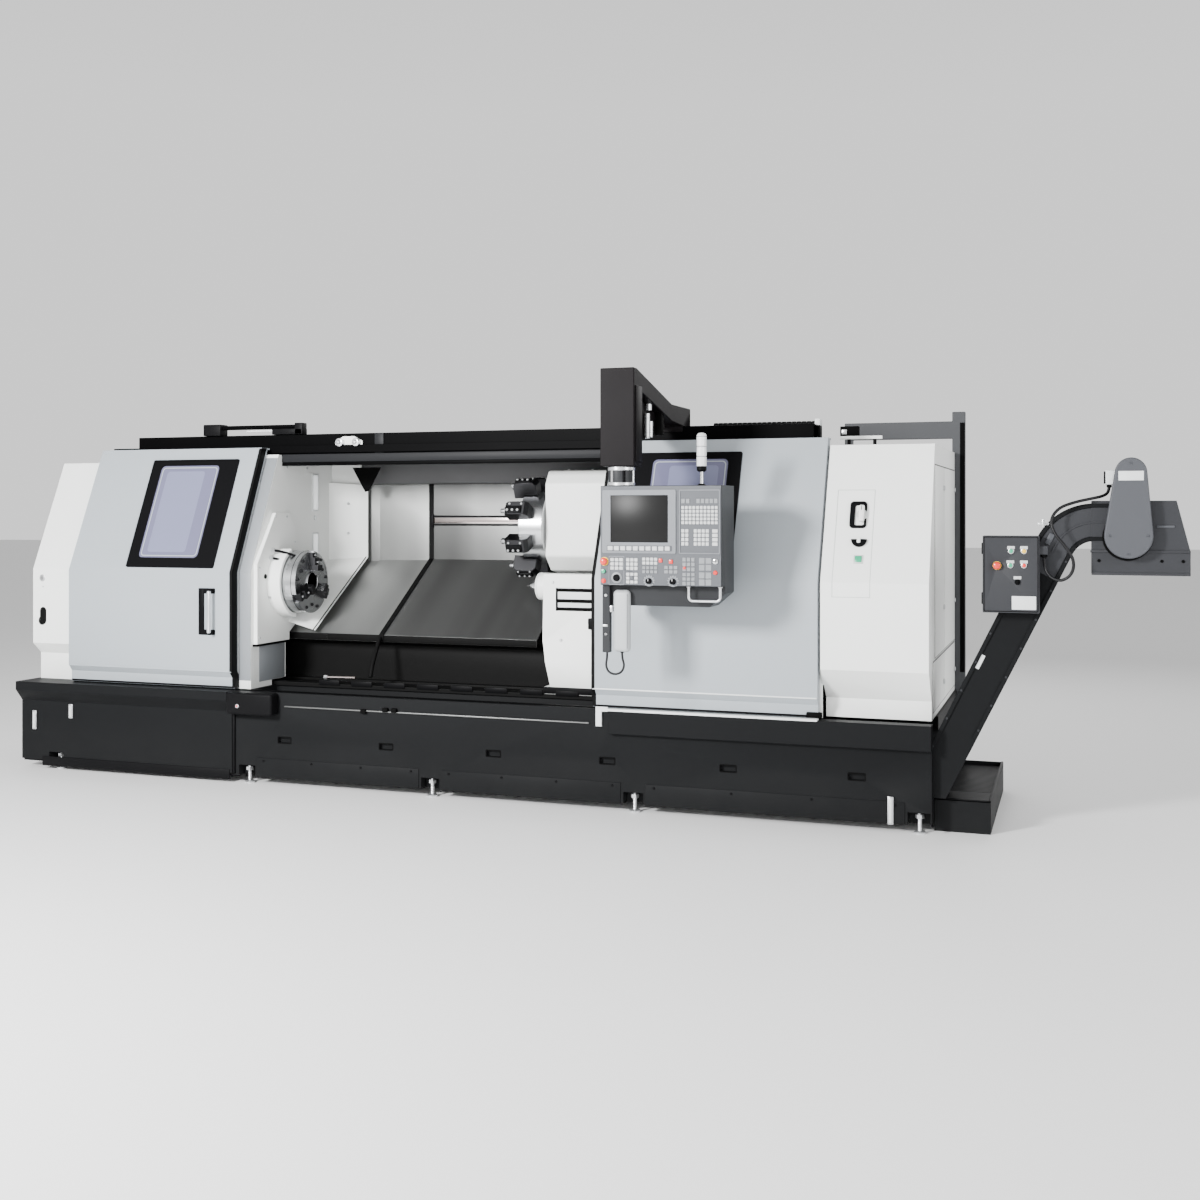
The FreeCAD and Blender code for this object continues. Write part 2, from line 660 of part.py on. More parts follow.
cabinet_fold = (sized(692), sized(861))
cabinet_right = right - 15
tail_zone_left = right_door_edge + 55
zones = [
    prism("tail_zone_outside", "x", shell_outline(-cover_front, cover_roof, base_rear, base_top),
          tail_zone_left, cabinet_left),
    prism("cabinet_outside", "x", shell_outline(front, cover_roof, base_rear, base_top, cabinet_fold, 150),
          cabinet_left, cabinet_right),
]
rooms = [
    prism("tail_zone_inside", "x",
          shell_outline(wall - cover_front, cover_roof - wall, base_rear - wall, base_top - 1),
          tail_zone_left - 1, cabinet_left + wall),
    prism("cabinet_inside", "x",
          shell_outline(front + wall, cover_roof - wall, base_rear - wall, base_top - 1, cabinet_fold, 150),
          cabinet_left + wall, cabinet_right - wall),
]
breaker_at = (right - 390, dim("breaker_height", 1702))
breaker_stem_radius = dim("breaker_stem_radius", 10)


def on_leaning_front(thing):
    """Lay a piece that is drawn about the Z axis on the cabinet's leaning front, at the main breaker's place."""
    x, z = breaker_at
    lean = derived(f"atan(({(door_top - break_z).formula}) / ({front_lean.formula}))",
                   math.degrees(math.atan(1 / lean_rate.value)))
    thing.Placement = FreeCAD.Placement(FreeCAD.Vector(), FreeCAD.Rotation(FreeCAD.Vector(1, 0, 0), lean.value))
    place(thing, (x, front_at(front, z), z))
    bind(thing, "Placement.Rotation.Angle", lean)
    return thing


breaker_disc = rod("breaker_disc", "z", (0, 0, slide_gap), 14, 46)
breaker_bar = block("breaker_bar", (-16, -50, 12), (16, 50, 42))
breaker_stem = rod("breaker_stem", "z", (0, 0, -30), 32, breaker_stem_radius)
publish("breaker_handle", on_leaning_front(fuse("breaker_handle", breaker_disc, breaker_bar, breaker_stem)))
breaker_bore = rod("breaker_bore", "z", (0, 0, -40), 60, breaker_stem_radius + running_fit)
breaker_hole = on_leaning_front(group("breaker_hole", breaker_bore))
publish("right_cabinet", cut("right_cabinet", fuse("cabinet_solid", *zones), fuse("cabinet_room", *rooms),
                             breaker_hole))

rail_low = dim("rail_low", 2190)
post_width = dim("post_width", 80)
post_right = right + 50
rail_post = block("rail_post", (post_right - post_width, base_rear, base_bottom), (post_right, base_rear + 60, rail_low + 170))
rail_beam = block("rail_beam", (right - 715, base_rear, rail_low), (post_right - post_width + 1, base_rear + 60, rail_low + 110))
rail_stub = block("rail_stub", (right - 715, base_rear, rail_low - 400), (right - 665, base_rear + 60, rail_low + 20))
publish("rear_rail", fuse("rear_rail", rail_post, rail_beam, rail_stub))

# ---------------------------------------------------------------- steel way covers

cover_layer = dim("cover_layer", 0.5)             # between one way cover and the next


def cover_section(depth, thick):
    """The section of a way cover that lies a depth under the outermost one: lip, slope and upright."""
    rear_y = cover_break_y + depth
    return [(cover_edge_y + depth, cover_edge_z - 45), (cover_edge_y + depth, slope_z(cover_edge_y) - depth),
            (rear_y, slope_z(cover_break_y) - depth), (rear_y, cover_top_z),
            (rear_y + thick, cover_top_z), (rear_y + thick, slope_z(cover_break_y) - depth - thick),
            (cover_edge_y + depth + thick, slope_z(cover_edge_y) - depth - thick),
            (cover_edge_y + depth + thick, cover_edge_z - 45)]


carriage_right = carriage_left + carriage_width
left_cover_length = dim("left_cover_length", 1100)
publish("moving_way_covers", group(
    "moving_way_covers",
    prism("moving_cover_left", "x", cover_section(0, cover_sheet), carriage_left - left_cover_length, carriage_left),
    prism("moving_cover_right", "x", cover_section(0, cover_sheet), carriage_right, carriage_right + 800)))
middle_cover_left = carriage_left - left_cover_length - 400
publish("middle_way_cover", prism("middle_way_cover", "x", cover_section(cover_sheet + cover_layer, cover_sheet),
                                  middle_cover_left, middle_cover_left + 850))
fixed_depth = (cover_sheet + cover_layer) * 2
fixed_right = carriage_left - 1060
fixed_sheet = prism("fixed_cover_sheet", "x", cover_section(fixed_depth, cover_sheet), wall_right, fixed_right)
cover_rib = prism("fixed_cover_rib", "x",
                  [on_slope(260, -bed_depth), on_slope(600, -bed_depth), on_slope(600, -30), on_slope(260, -30)],
                  fixed_right - 40, fixed_right - 20)
publish("fixed_way_cover", fuse("fixed_way_cover", fixed_sheet, cover_rib))

# ---------------------------------------------------------------- saddle, cross slide and turret

cross_cos = cosine(cross_angle)
cross_sin = sine(cross_angle)


def on_cross(outward, below):
    """A point in the section: outward from the spindle's axis along the cross slide, and below that line."""
    return (spindle_y + cross_cos * outward + cross_sin * below, spindle_z + cross_sin * outward - cross_cos * below)


guide_depth = dim("guide_depth", 230)             # from the turret's line down to the cross slide's guide
saddle_low = way_height - bed_depth + slide_gap
publish("saddle", prism(
    "saddle", "x",
    [on_slope(100, saddle_low), on_slope(800, saddle_low), on_cross(650, guide_depth + slide_gap),
     on_cross(180, guide_depth + slide_gap), on_slope(330, -30), on_slope(100, -30)],
    carriage_left, carriage_right))

hub = on_cross(hub_distance, 0)
housing_front = hub[0] - 175
housing_back = hub[0] + 236
housing_top = hub[1] + 360
housing_solid = prism(
    "housing_solid", "x",
    [(housing_front, hub[1] - 185), (housing_front + 95, hub[1] - 280), on_cross(320, guide_depth),
     on_cross(620, guide_depth), (housing_back, hub[1] - 60), (housing_back, housing_top),
     (housing_front + 60, housing_top), (housing_front, housing_top - 85)],
    carriage_left, carriage_right - 200)
housing_hole = rod("housing_hole", "x", (carriage_left - 1, *hub), 170, turret_shaft + running_fit)
publish("turret_housing", cut("turret_housing", housing_solid, housing_hole))

disc_left = carriage_left - 160
disc = rod("disc", "x", (disc_left, *hub), carriage_left - slide_gap - disc_left, turret_radius)
hub_cap = rod("hub_cap", "x", (disc_left - 40, *hub), 40, 130)
turret_axle = rod("turret_axle", "x", (disc_left, *hub), 300, turret_shaft)
publish("turret_disc", fuse("turret_disc", disc, hub_cap, turret_axle))

tool_left = carriage_left - 300
tool_blocks = []
for number in range(turret_stations):
    tool = prism(f"tool_block_{number}", "y",
                 [(tool_left, turret_radius - 25), (disc_left, turret_radius - 25), (disc_left, turret_radius),
                  (carriage_left - 70, turret_radius), (carriage_left - 70, tool_radius - 30),
                  (tool_left + 40, tool_radius), (tool_left, tool_radius)],
                 -45, 45)
    angle = 360 / turret_stations * (number + 0.5)
    tool.Placement = FreeCAD.Placement(FreeCAD.Vector(), FreeCAD.Rotation(FreeCAD.Vector(1, 0, 0), angle))
    place(tool, (0, *hub))
    tool_blocks.append(tool)
publish("tool_blocks", group("tool_blocks", *tool_blocks))

# ---------------------------------------------------------------- tailstock, quill and centre

tail_right = tail_left + tail_length
tail_seat = bed_foot + tail_way_height + slide_gap
plate_top = tail_seat + 45
tail_back = spindle_y + tail_limit * math.sqrt(2)
tail_top = spindle_z + 80
tail_body = prism(
    "tail_body", "x",
    [(spindle_y - 130, plate_top), (spindle_y - 130, plate_top + 150), (spindle_y - 100, plate_top + 260),
     (spindle_y - 85, tail_top), (tail_back - 80, tail_top), (tail_back, spindle_z),
     (tail_back, slope_z(tail_back, 15)), (cover_edge_y - 15, slope_z(cover_edge_y - 15, 15)),
     (cover_edge_y - 15, plate_top)],
    tail_left, tail_right)
tail_plate = block("tail_plate", (tail_left + 20, -bed_front, tail_seat), (tail_right, -10, plate_top))
tail_sleeve = rod("tail_sleeve", "x", (tail_left - tail_nose, spindle_y, spindle_z), tail_nose + 10, tail_limit)
toe = prism("tail_toe", "y",
            [(tail_left - 1, plate_top), (tail_left + 62, plate_top), (tail_left - 1, plate_top + 280)],
            spindle_y - 131, 0)
quill_hole = rod("quill_hole", "x", (tail_left - tail_nose - 1, spindle_y, spindle_z), 500, quill_radius + running_fit)
publish("tailstock_casting", cut("tailstock_casting", fuse("tail_solid", tail_body, tail_plate, tail_sleeve),
                                 toe, quill_hole))

quill_left = tail_left - tail_nose - 3
quill_solid = rod("quill_solid", "x", (quill_left, spindle_y, spindle_z), 420, quill_radius)
shank_hole = rod("shank_hole", "x", (quill_left - 1, spindle_y, spindle_z), 141, centre_shank + running_fit)
publish("quill", cut("quill", quill_solid, shank_hole))

centre_face = quill_left - slide_gap
centre_head = rod("centre_head", "x", (centre_face - 35, spindle_y, spindle_z), 35, 32)
centre_axle = rod("centre_axle", "x", (centre_face - 5, spindle_y, spindle_z), 125, centre_shank)
point = doc.addObject("Part::Cone", "centre_point")
bind(point, "Radius1", 1)
bind(point, "Radius2", 26)
bind(point, "Height", 50)
point.Placement = FreeCAD.Placement(FreeCAD.Vector(), TURNS["x"])
place(point, (centre_face - 85, spindle_y, spindle_z))
publish("live_centre", fuse("live_centre", centre_head, centre_axle, point))

# ---------------------------------------------------------------- sliding doors

door_foot = base_top + 7
hanger_end = lintel_y - 25 - slide_gap


def door_tray(name, low_x, high_x, window_left):
    """A folded door: an outer skin with returned edges, open at the back, and a window hole in its slope."""
    face_top = front_at(front, door_top)
    lip = door_top - 12
    skin = [(front + 30, door_foot), (front + 30, 662), (front, 702), (front, break_z), (face_top, door_top),
            (hanger_end, door_top), (hanger_end, lip), (face_top + door_depth, lip), (front + door_depth, break_z),
            (front + door_depth, door_foot)]
    room_top = door_top - 30
    room = [(front + 30 + door_sheet, door_foot + 25), (front + 30 + door_sheet, 663), (front + door_sheet, 704),
            (front + door_sheet, break_z), (front_at(front, room_top) + door_sheet, room_top),
            (front_at(front, room_top) + door_depth + 1, room_top), (front + door_depth + 1, break_z),
            (front + door_depth + 1, door_foot + 25)]
    outside = prism(name + "_outside", "x", skin, low_x, high_x)
    inside = prism(name + "_inside", "x", room, low_x + 25, high_x - 25)
    margin = 60
    hole = block(name + "_window_hole", (window_left + margin, front - 1, window_low + margin),
                 (window_left + window_width - margin, 0, window_high - margin))
    return cut(name, outside, inside, hole)


def window_pane(name, low_x):
    """A glass pane with a printed border, lying on the door's slope."""
    out = front - window_thick
    return prism(name, "x",
                 [(front_at(out, window_low), window_low), (front_at(out, window_high), window_high),
                  (front_at(front, window_high), window_high), (front_at(front, window_low), window_low)],
                 low_x, low_x + window_width)


left_window_left = left_door_edge - window_margin - window_width
right_window_left = right_door_edge + window_margin
publish("left_door_panel", door_tray("left_door_panel", left_door_left, left_door_edge, left_window_left))
publish("right_door_panel", door_tray("right_door_panel", right_door_edge, right_door_right, right_window_left))
publish("left_window", window_pane("left_window", left_window_left))
publish("right_window", window_pane("right_window", right_window_left))

grip_x = left_door_edge - 150
grip_low = dim("grip_low", 935)
grip_length = dim("grip_length", 295)
grip_stands = [block(f"grip_stand_{n}", (grip_x, front - 40, z), (grip_x + 22, front, z + 22))
               for n, z in enumerate((grip_low, grip_low + grip_length - 22))]
grip_bar = block("grip_bar", (grip_x, front - 58, grip_low), (grip_x + 22, front - 36, grip_low + grip_length))
publish("left_door_handle", fuse("left_door_handle", grip_bar, *grip_stands))

# ---------------------------------------------------------------- pendant on its overhead arm

arm_right = arm_left + arm_width
arm_front = -pendant_front
arm_back = lintel_y + lintel_depth + 10
shoe_low = lintel_top + slide_gap
hook_low = lintel_top - 35
arm_body = prism(
    "arm_body", "x",
    [(arm_front, arm_low), (arm_front, arm_high), (arm_front + 50, arm_high), (arm_front + 720, arm_high - 145),
     (arm_back, arm_high - 145), (arm_back, hook_low), (arm_back - 10 + slide_gap, hook_low),
     (arm_back - 10 + slide_gap, shoe_low), (lintel_y - slide_gap, shoe_low), (lintel_y - slide_gap, hook_low),
     (lintel_y - 10, hook_low), (lintel_y - 10, shoe_low), (arm_front + 720, shoe_low + 15),
     (arm_front + 150, shoe_low + 135), (arm_front + 150, arm_low)],
    arm_left, arm_right)
swivel = (arm_left + arm_width / 2, arm_front + 75)
swivel_pin = rod("swivel_pin", "z", (*swivel, arm_low - 66), 70, 30)
publish("pendant_arm", fuse("pendant_arm", arm_body, swivel_pin))

pendant_right = pendant_left + pendant_width
face_front = -pendant_front
shell_front = face_front + face_thick
shell_back = shell_front + pendant_depth
skirt_front = shell_front + 70
skirt_low = pendant_low - 112
bracket_low = dim("bracket_low", 961)
case = block("pendant_case", (pendant_left, shell_front, pendant_low), (pendant_right, shell_back, pendant_high))
skirt = prism("pendant_skirt", "y",
              [(pendant_left, skirt_low), (pendant_right - 85, skirt_low), (pendant_right, skirt_low + 75),
               (pendant_right, pendant_low), (pendant_left, pendant_low)],
              skirt_front, shell_back)
bracket = block("handset_bracket", (pendant_left, skirt_front - 40, bracket_low),
                (pendant_left + 40, skirt_front, pendant_low))
collar = rod("swivel_collar", "z", (*swivel, pendant_high), arm_low - slide_gap - pendant_high, swivel_radius)
collar_bore = rod("collar_bore", "z", (*swivel, arm_low - 71), 90, 30 + running_fit)
publish("pendant_shell", cut("pendant_shell", fuse("pendant_solid", case, skirt, bracket, collar), collar_bore))

stop_at = (pendant_left + 25, sized(1455))
start_at = (pendant_left + 21, sized(1402))
knob_at = (pendant_left + 276, sized(1353))
button_bores = [rod(f"button_bore_{n}", "y", (at[0], face_front - 1, at[1]), face_thick + 2, radius + running_fit)
                for n, (at, radius) in enumerate(((stop_at, 8), (start_at, 6), (knob_at, 6)))]
face_plate = block("face_plate", (pendant_left + 3, face_front, pendant_low + 3),
                   (pendant_right - 3, shell_front, pendant_high - 3))
publish("pendant_face", cut("pendant_face", face_plate, *button_bores))


def push_button(name, at, face, head_radius, head_gap, head_thick, stem_radius, stem_depth):
    """A button: a head that stands head_gap off a face across Y, and a stem that runs in the face's bore."""
    head = rod(name + "_head", "y", (at[0], face - head_gap - head_thick, at[1]), head_thick, head_radius)
    stem = rod(name + "_stem", "y", (at[0], face - head_gap - 1, at[1]), head_gap + 1 + stem_depth, stem_radius)
    return fuse(name, head, stem)


publish("pendant_stop", push_button("pendant_stop", stop_at, face_front, 20, stop_travel, stop_head, 8, 5))
publish("cycle_start", push_button("cycle_start", start_at, face_front, 12, 4, 8, 6, 5))
publish("feed_knob", push_button("feed_knob", knob_at, face_front, 17, slide_gap, 20, 6, 9))

loop_left = pendant_left + 480
loop_right = pendant_left + 665
loop_y = shell_front + 20
loop_low = pendant_low - 84
loop_posts = [rod(f"loop_post_{n}", "z", (x, loop_y, loop_low), pendant_low - loop_low, 7)
              for n, x in enumerate((loop_left + 7, loop_right - 7))]
loop_bar = rod("loop_bar", "x", (loop_left, loop_y, loop_low + 7), loop_right - loop_left, 7)
publish("pendant_handle", fuse("pendant_handle", loop_bar, *loop_posts))

lamp_place = (pendant_left + 514, shell_front + 180)
lamp_stem = rod("lamp_stem", "z", (*lamp_place, pendant_high), 105, 9)
lamp_body = rod("lamp_body", "z", (*lamp_place, pendant_high + 102), 183, 27)
publish("signal_lamp", fuse("signal_lamp", lamp_stem, lamp_body))

handset_low = bracket_low + 4
publish("handset", block("handset", (pendant_left + 60, skirt_front - 48, handset_low),
                         (pendant_left + 155, skirt_front, handset_low + 335)))


def limber_tube(name, points, diameter):
    """A cord of straight runs joined by tangent arcs, each as large as its two runs allow."""
    corners = [FreeCAD.Vector(*point) for point in points]
    edges = []
    here = corners[0]
    for before, corner, after in zip(corners, corners[1:], corners[2:]):
        back, ahead = before - corner, after - corner
        half_turn = (math.pi - back.getAngle(ahead)) / 2
        reach = 0.45 * min(back.Length, ahead.Length)
        radius = reach / math.tan(half_turn)
        entry = corner + back.normalize() * reach
        leave = corner + ahead.normalize() * reach
        inward = ((entry + leave) * 0.5 - corner).normalize()
        crown = corner + inward * (radius / math.cos(half_turn) - radius)
        edges += [Part.LineSegment(here, entry).toShape(), Part.Arc(entry, crown, leave).toShape()]
        here = leave
        print(f"{name} bend radius {radius:.0f}")
    edges.append(Part.LineSegment(here, corners[-1]).toShape())
    path = Part.Wire(edges)
    start = Part.Circle(corners[0], corners[1] - corners[0], diameter.value / 2)
    feature = doc.addObject("Part::Feature", name)
    feature.Shape = path.makePipeShell([Part.Wire([start.toShape()])], True, False)
    expected = math.pi * (diameter.value / 2) ** 2 * path.Length
    print(f"{name} length {path.Length:.0f}, volume {feature.Shape.Volume / expected:.4f} of section times length")
    return feature


handset_route = [(776, -1084, 965), (776, -1084, 932), (792, -1090, 893), (777, -1096, 855), (738, -1098, 842),
                 (699, -1095, 856), (684, -1088, 893), (689, -1080, 928), (689, -1080, 961)]
publish("handset_cord", limber_tube("handset_cord", handset_route, handset_cord_diameter))

# ---------------------------------------------------------------- electrical cabinet behind the machine

box_left = dim("box_left", 600)
box_width = dim("box_width", 1000)
box_top = dim("box_top", 2050)
box_right = box_left + box_width
rear_door_thick = dim("rear_door_thick", 30)
rear_reach = pendant_front + stop_travel + stop_head   # as far back as the pendant's buttons reach forward
box_back = rear_reach - rear_door_thick - slide_gap
box_outside = block("box_outside", (box_left, base_rear, base_top - 285), (box_right, box_back, box_top))
box_inside = block("box_inside", (box_left + 4, base_rear + 4, base_top - 281), (box_right - 4, box_back + 1, box_top - 4))
hinge_y = box_back + 15
hinge_x = box_right + 14
hinge_pins = []
hinge_eyes = []
for number, z in enumerate((base_top, box_top - 350)):
    pin = rod(f"hinge_pin_{number}", "z", (hinge_x, hinge_y, z), 120, 6)
    arm = block(f"hinge_arm_{number}", (box_right, box_back - 30, z), (hinge_x + 6, hinge_y, z + 35))
    hinge_pins += [pin, arm]
    eye = tube(f"hinge_eye_{number}", "z", (hinge_x, hinge_y, z + 35 + slide_gap), 80, 13, 6 + running_fit)
    tab = block(f"hinge_tab_{number}", (box_right - 60, hinge_y, z + 36), (hinge_x - 7, hinge_y + 13, z + 114))
    hinge_eyes += [eye, tab]
publish("electrical_cabinet", fuse("electrical_cabinet", cut("box_shell", box_outside, box_inside), *hinge_pins))
door_blank = block("rear_door_blank", (box_left, box_back + slide_gap, base_top - 285), (box_right, rear_reach, box_top))
publish("cabinet_door", fuse("cabinet_door", door_blank, *hinge_eyes))

# ---------------------------------------------------------------- coolant tank

tank_front = front + 123
tank_rear = tank_front + 1230
tank_outside = block("tank_outside", (right, tank_front, 0), (right + tank_length, tank_rear, tank_height))
tank_well = block("tank_well", (right + 6, tank_front + 230, 6), (right + tank_length - 6, tank_rear - 6, tank_height + 1))
publish("coolant_tank", cut("coolant_tank", tank_outside, tank_well))

# ---------------------------------------------------------------- chip conveyor

rise_cos = cosine(conveyor_angle)
rise_sin = sine(conveyor_angle)
conveyor_front = trough_front + 8
conveyor_rear = conveyor_front + conveyor_width
bend_x = right + 815
bend_z = head_floor - conveyor_bend
head_face = head_end - 75


def rise_foot(radius, z):
    """Where a line tangent to the bend at its radius, climbing at the conveyor's angle, meets a height."""
    return bend_x - radius * rise_sin - (bend_z + radius * rise_cos - z) * rise_cos / rise_sin


# A cylinder's sweep that starts straight up and turns towards the left, with its axis along -Y.
UP_THEN_LEFT = FreeCAD.Rotation(FreeCAD.Vector(0, 0, 1), FreeCAD.Vector(-1, 0, 0), FreeCAD.Vector(0, -1, 0), "XYZ")


def conveyor_run(name, near, far, radii, low, head_right):
    """A form that climbs from a height, bends over between two radii and runs level to the right."""
    inner, outer = radii
    climb = prism(name + "_climb", "y",
                  [(rise_foot(outer, low), low), (rise_foot(inner, low), low),
                   (bend_x - inner * rise_sin, bend_z + inner * rise_cos),
                   (bend_x - outer * rise_sin, bend_z + outer * rise_cos)],
                  near, far)
    sectors = []
    for side, radius in (("outer", outer), ("inner", inner)):
        sector = rod(f"{name}_{side}", "y", (bend_x, near, bend_z), far - near, radius, conveyor_angle)
        sector.Placement = FreeCAD.Placement(FreeCAD.Vector(), UP_THEN_LEFT)
        place(sector, (bend_x, far, bend_z))
        sectors.append(sector)
    bend = cut(name + "_bend", *sectors)
    head = block(name + "_head", (bend_x, near, bend_z + inner), (head_right, far, bend_z + outer))
    return fuse(name, climb, bend, head)


conveyor_left = left + conveyor_start
conveyor_outer = conveyor_bend + conveyor_thick
room_front = conveyor_front + conveyor_wall
room_rear = conveyor_rear - conveyor_wall
outer_run = conveyor_run("conveyor_outer", conveyor_front, conveyor_rear, (conveyor_bend, conveyor_outer),
                         trough_floor, head_face)
inner_run = conveyor_run("conveyor_inner", room_front, room_rear,
                         (conveyor_bend + conveyor_wall, conveyor_outer - conveyor_wall),
                         trough_floor + conveyor_wall, head_face - conveyor_wall)
tray_top = trough_floor + conveyor_tray
tray_end = rise_foot(conveyor_outer, tray_top) + 40
tray_rim = tray_top + 1
tray = block("conveyor_tray_solid", (conveyor_left, conveyor_front, trough_floor), (tray_end, conveyor_rear, tray_top))
tray_room = block("conveyor_tray_room", (conveyor_left + conveyor_wall, room_front, trough_floor + conveyor_wall),
                  (tray_end + 20, room_rear, tray_rim))
mouth_left = bend_x + 80
mouth = block("conveyor_mouth", (mouth_left, room_front, head_floor - 5), (head_face - 40, room_rear, head_floor + 10))
conveyor_solid = fuse("conveyor_solid", outer_run, tray)
conveyor_shell = cut("conveyor_shell", conveyor_solid, inner_run, tray_room, mouth)


def conveyor_layer(name, near, far):
    """The part of the conveyor's casing that lies between two upright planes along it."""
    layer = block(name + "_layer", (conveyor_left, near, trough_floor), (head_end, far, head_floor + conveyor_outer))
    return common(name, conveyor_shell, layer)


publish("conveyor_front_side", conveyor_layer("conveyor_front_side", conveyor_front, room_front))
publish("conveyor_rear_side", conveyor_layer("conveyor_rear_side", room_rear, conveyor_rear))
conveyor_core = conveyor_layer("conveyor_core", room_front, room_rear)
under_run = conveyor_run("conveyor_under", room_front, room_rear,
                         (conveyor_bend - conveyor_wall, conveyor_bend + conveyor_thick / 2), trough_floor, mouth_left + 5)
under_tray = block("conveyor_under_tray", (conveyor_left, room_front, trough_floor), (bend_x, room_rear, tray_rim))
under = fuse("conveyor_underside", under_run, under_tray)
publish("conveyor_top_plate", cut("conveyor_top_plate", conveyor_core, under))
publish("conveyor_bottom_plate", common("conveyor_bottom_plate", conveyor_core, under))

hood_wall = conveyor_wall
hood_left = bend_x - 16
hood_top = head_floor + conveyor_thick + 13
hood_front = conveyor_front - hood_wall
hood_rear = conveyor_rear + hood_wall
hood_rim = hood_low + 122
hood_outside = prism("hood_outside", "y",
                     [(hood_left, hood_low), (head_end, hood_low), (head_end, hood_rim), (head_end - 65, hood_top),
                      (hood_left, hood_top)], hood_front, hood_rear)
hood_inside = prism("hood_inside", "y",
                    [(hood_left + hood_wall, hood_low - 1), (head_end - hood_wall, hood_low - 1),
                     (head_end - hood_wall, hood_rim), (head_end - 65 - hood_wall, hood_top - hood_wall),
                     (hood_left + hood_wall, hood_top - hood_wall)], conveyor_front, conveyor_rear)
hood_entry = block("hood_entry", (hood_left - 1, conveyor_front, hood_rim),
                   (hood_left + hood_wall + 1, conveyor_rear, hood_top - hood_wall))
publish("conveyor_hood", cut("conveyor_hood", hood_outside, hood_inside, hood_entry))

drive_thick = dim("drive_thick", 80)
drive_top = (head_end - 283, sized(1920))
drive_low = (head_end - 294, sized(1600))
drive_face = round_link(drive_low, 117, drive_top, 77)
drive_shape = drive_face.extrude(FreeCAD.Vector(0, 0, drive_thick.value))
publish("drive_cover", raised("drive_cover", "y", drive_shape, hood_front))

gearmotor = rod("gearmotor", "y", (drive_top[0], hood_front, drive_top[1]), 250, 65)
gearmotor_foot = block("gearmotor_foot", (drive_top[0] - 55, hood_front + 40, hood_top),
                       (drive_top[0] + 55, hood_front + 230, drive_top[1] - 40))
junction = block("junction_box", (drive_top[0] - 127, hood_front + 6, drive_top[1] - 60),
                 (drive_top[0] - 50, hood_front + 66, drive_top[1] + 16))
publish("conveyor_motor", fuse("conveyor_motor", gearmotor, gearmotor_foot, junction))

control_left = head_end - 1006
control_low = dim("control_low", 1197)
control_front = conveyor_front - 108
control_case = block("control_case", (control_left, control_front, control_low),
                     (control_left + 282, conveyor_front, control_low + 400))
gland = block("control_gland", (control_left + 282, control_front + 24, control_low + 303),
              (control_left + 324, control_front + 66, control_low + 348))
conveyor_stop_at = (control_left + 72, control_low + 245)
conveyor_stop_bore = rod("conveyor_stop_bore", "y", (conveyor_stop_at[0], control_front - 1, conveyor_stop_at[1]),
                         20, 8 + running_fit)
publish("control_box", cut("control_box", fuse("control_solid", control_case, gland), conveyor_stop_bore))
publish("conveyor_stop", push_button("conveyor_stop", conveyor_stop_at, control_front, 20, stop_travel, stop_head, 8, 10))

cable_route = [(3250, -560, 1860), (3250, -560, 1826), (3224, -592, 1803), (3168, -630, 1790), (3085, -648, 1772),
               (3003, -664, 1742), (2963, -684, 1680), (2983, -698, 1608), (3038, -706, 1545), (3082, -704, 1472),
               (3071, -696, 1400), (3016, -684, 1362), (2958, -670, 1386), (2932, -655, 1444), (2932, -655, 1500)]
publish("conveyor_cable", limber_tube("conveyor_cable", cable_route, cable_diameter))

# ---------------------------------------------------------------- check and write the pieces

doc.recompute()
faults = [thing.Name for thing in doc.Objects if {"Invalid", "Error"} & set(thing.State)]
faults += [label for label, thing in nodes.items() if thing.Shape.isNull() or not thing.Shape.isValid()]
if faults:
    raise SystemExit("faulty: " + ", ".join(faults))
os.makedirs("parts", exist_ok=True)
for label, thing in nodes.items():
    thing.Shape.exportStep(f"parts/{label}.step")
box = FreeCAD.BoundBox()
for thing in nodes.values():
    box.add(thing.Shape.BoundBox)
print(len(nodes), "pieces", box)
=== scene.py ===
import json
import math

import bmesh
import bpy
import numpy as np
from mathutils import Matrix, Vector


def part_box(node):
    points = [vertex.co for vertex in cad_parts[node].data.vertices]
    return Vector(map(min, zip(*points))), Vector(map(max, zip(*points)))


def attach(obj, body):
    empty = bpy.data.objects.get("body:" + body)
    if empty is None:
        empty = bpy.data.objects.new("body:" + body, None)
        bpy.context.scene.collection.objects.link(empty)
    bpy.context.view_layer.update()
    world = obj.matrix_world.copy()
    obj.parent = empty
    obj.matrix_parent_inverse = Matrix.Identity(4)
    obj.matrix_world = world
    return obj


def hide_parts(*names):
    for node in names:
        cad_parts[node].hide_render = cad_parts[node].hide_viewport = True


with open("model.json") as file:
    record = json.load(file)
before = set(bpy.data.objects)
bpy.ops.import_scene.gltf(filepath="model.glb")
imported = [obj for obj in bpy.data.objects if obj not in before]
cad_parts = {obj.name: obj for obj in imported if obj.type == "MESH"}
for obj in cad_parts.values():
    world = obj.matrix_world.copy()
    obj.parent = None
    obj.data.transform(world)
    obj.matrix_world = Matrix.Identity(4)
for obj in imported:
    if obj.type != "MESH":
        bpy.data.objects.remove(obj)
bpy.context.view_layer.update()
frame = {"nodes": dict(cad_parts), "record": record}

# ======================================================================== studio
# A pale seamless floor under soft light. The camera stands at head height in front of the machine's
# right-hand end and looks level, turned to the left, as an operator walking up to it would see it.

eye = (3.12, -8.10, 1.72)
turn_left = math.radians(19.4)
camera = bpy.data.objects.new("camera", bpy.data.cameras.new("camera"))
bpy.context.scene.collection.objects.link(camera)
camera.location = eye
camera.rotation_euler = (math.pi / 2, 0, turn_left)
camera.data.sensor_width = 36.0
camera.data.lens = 41.1
camera.data.shift_y = -0.0733
bpy.context.scene.camera = camera


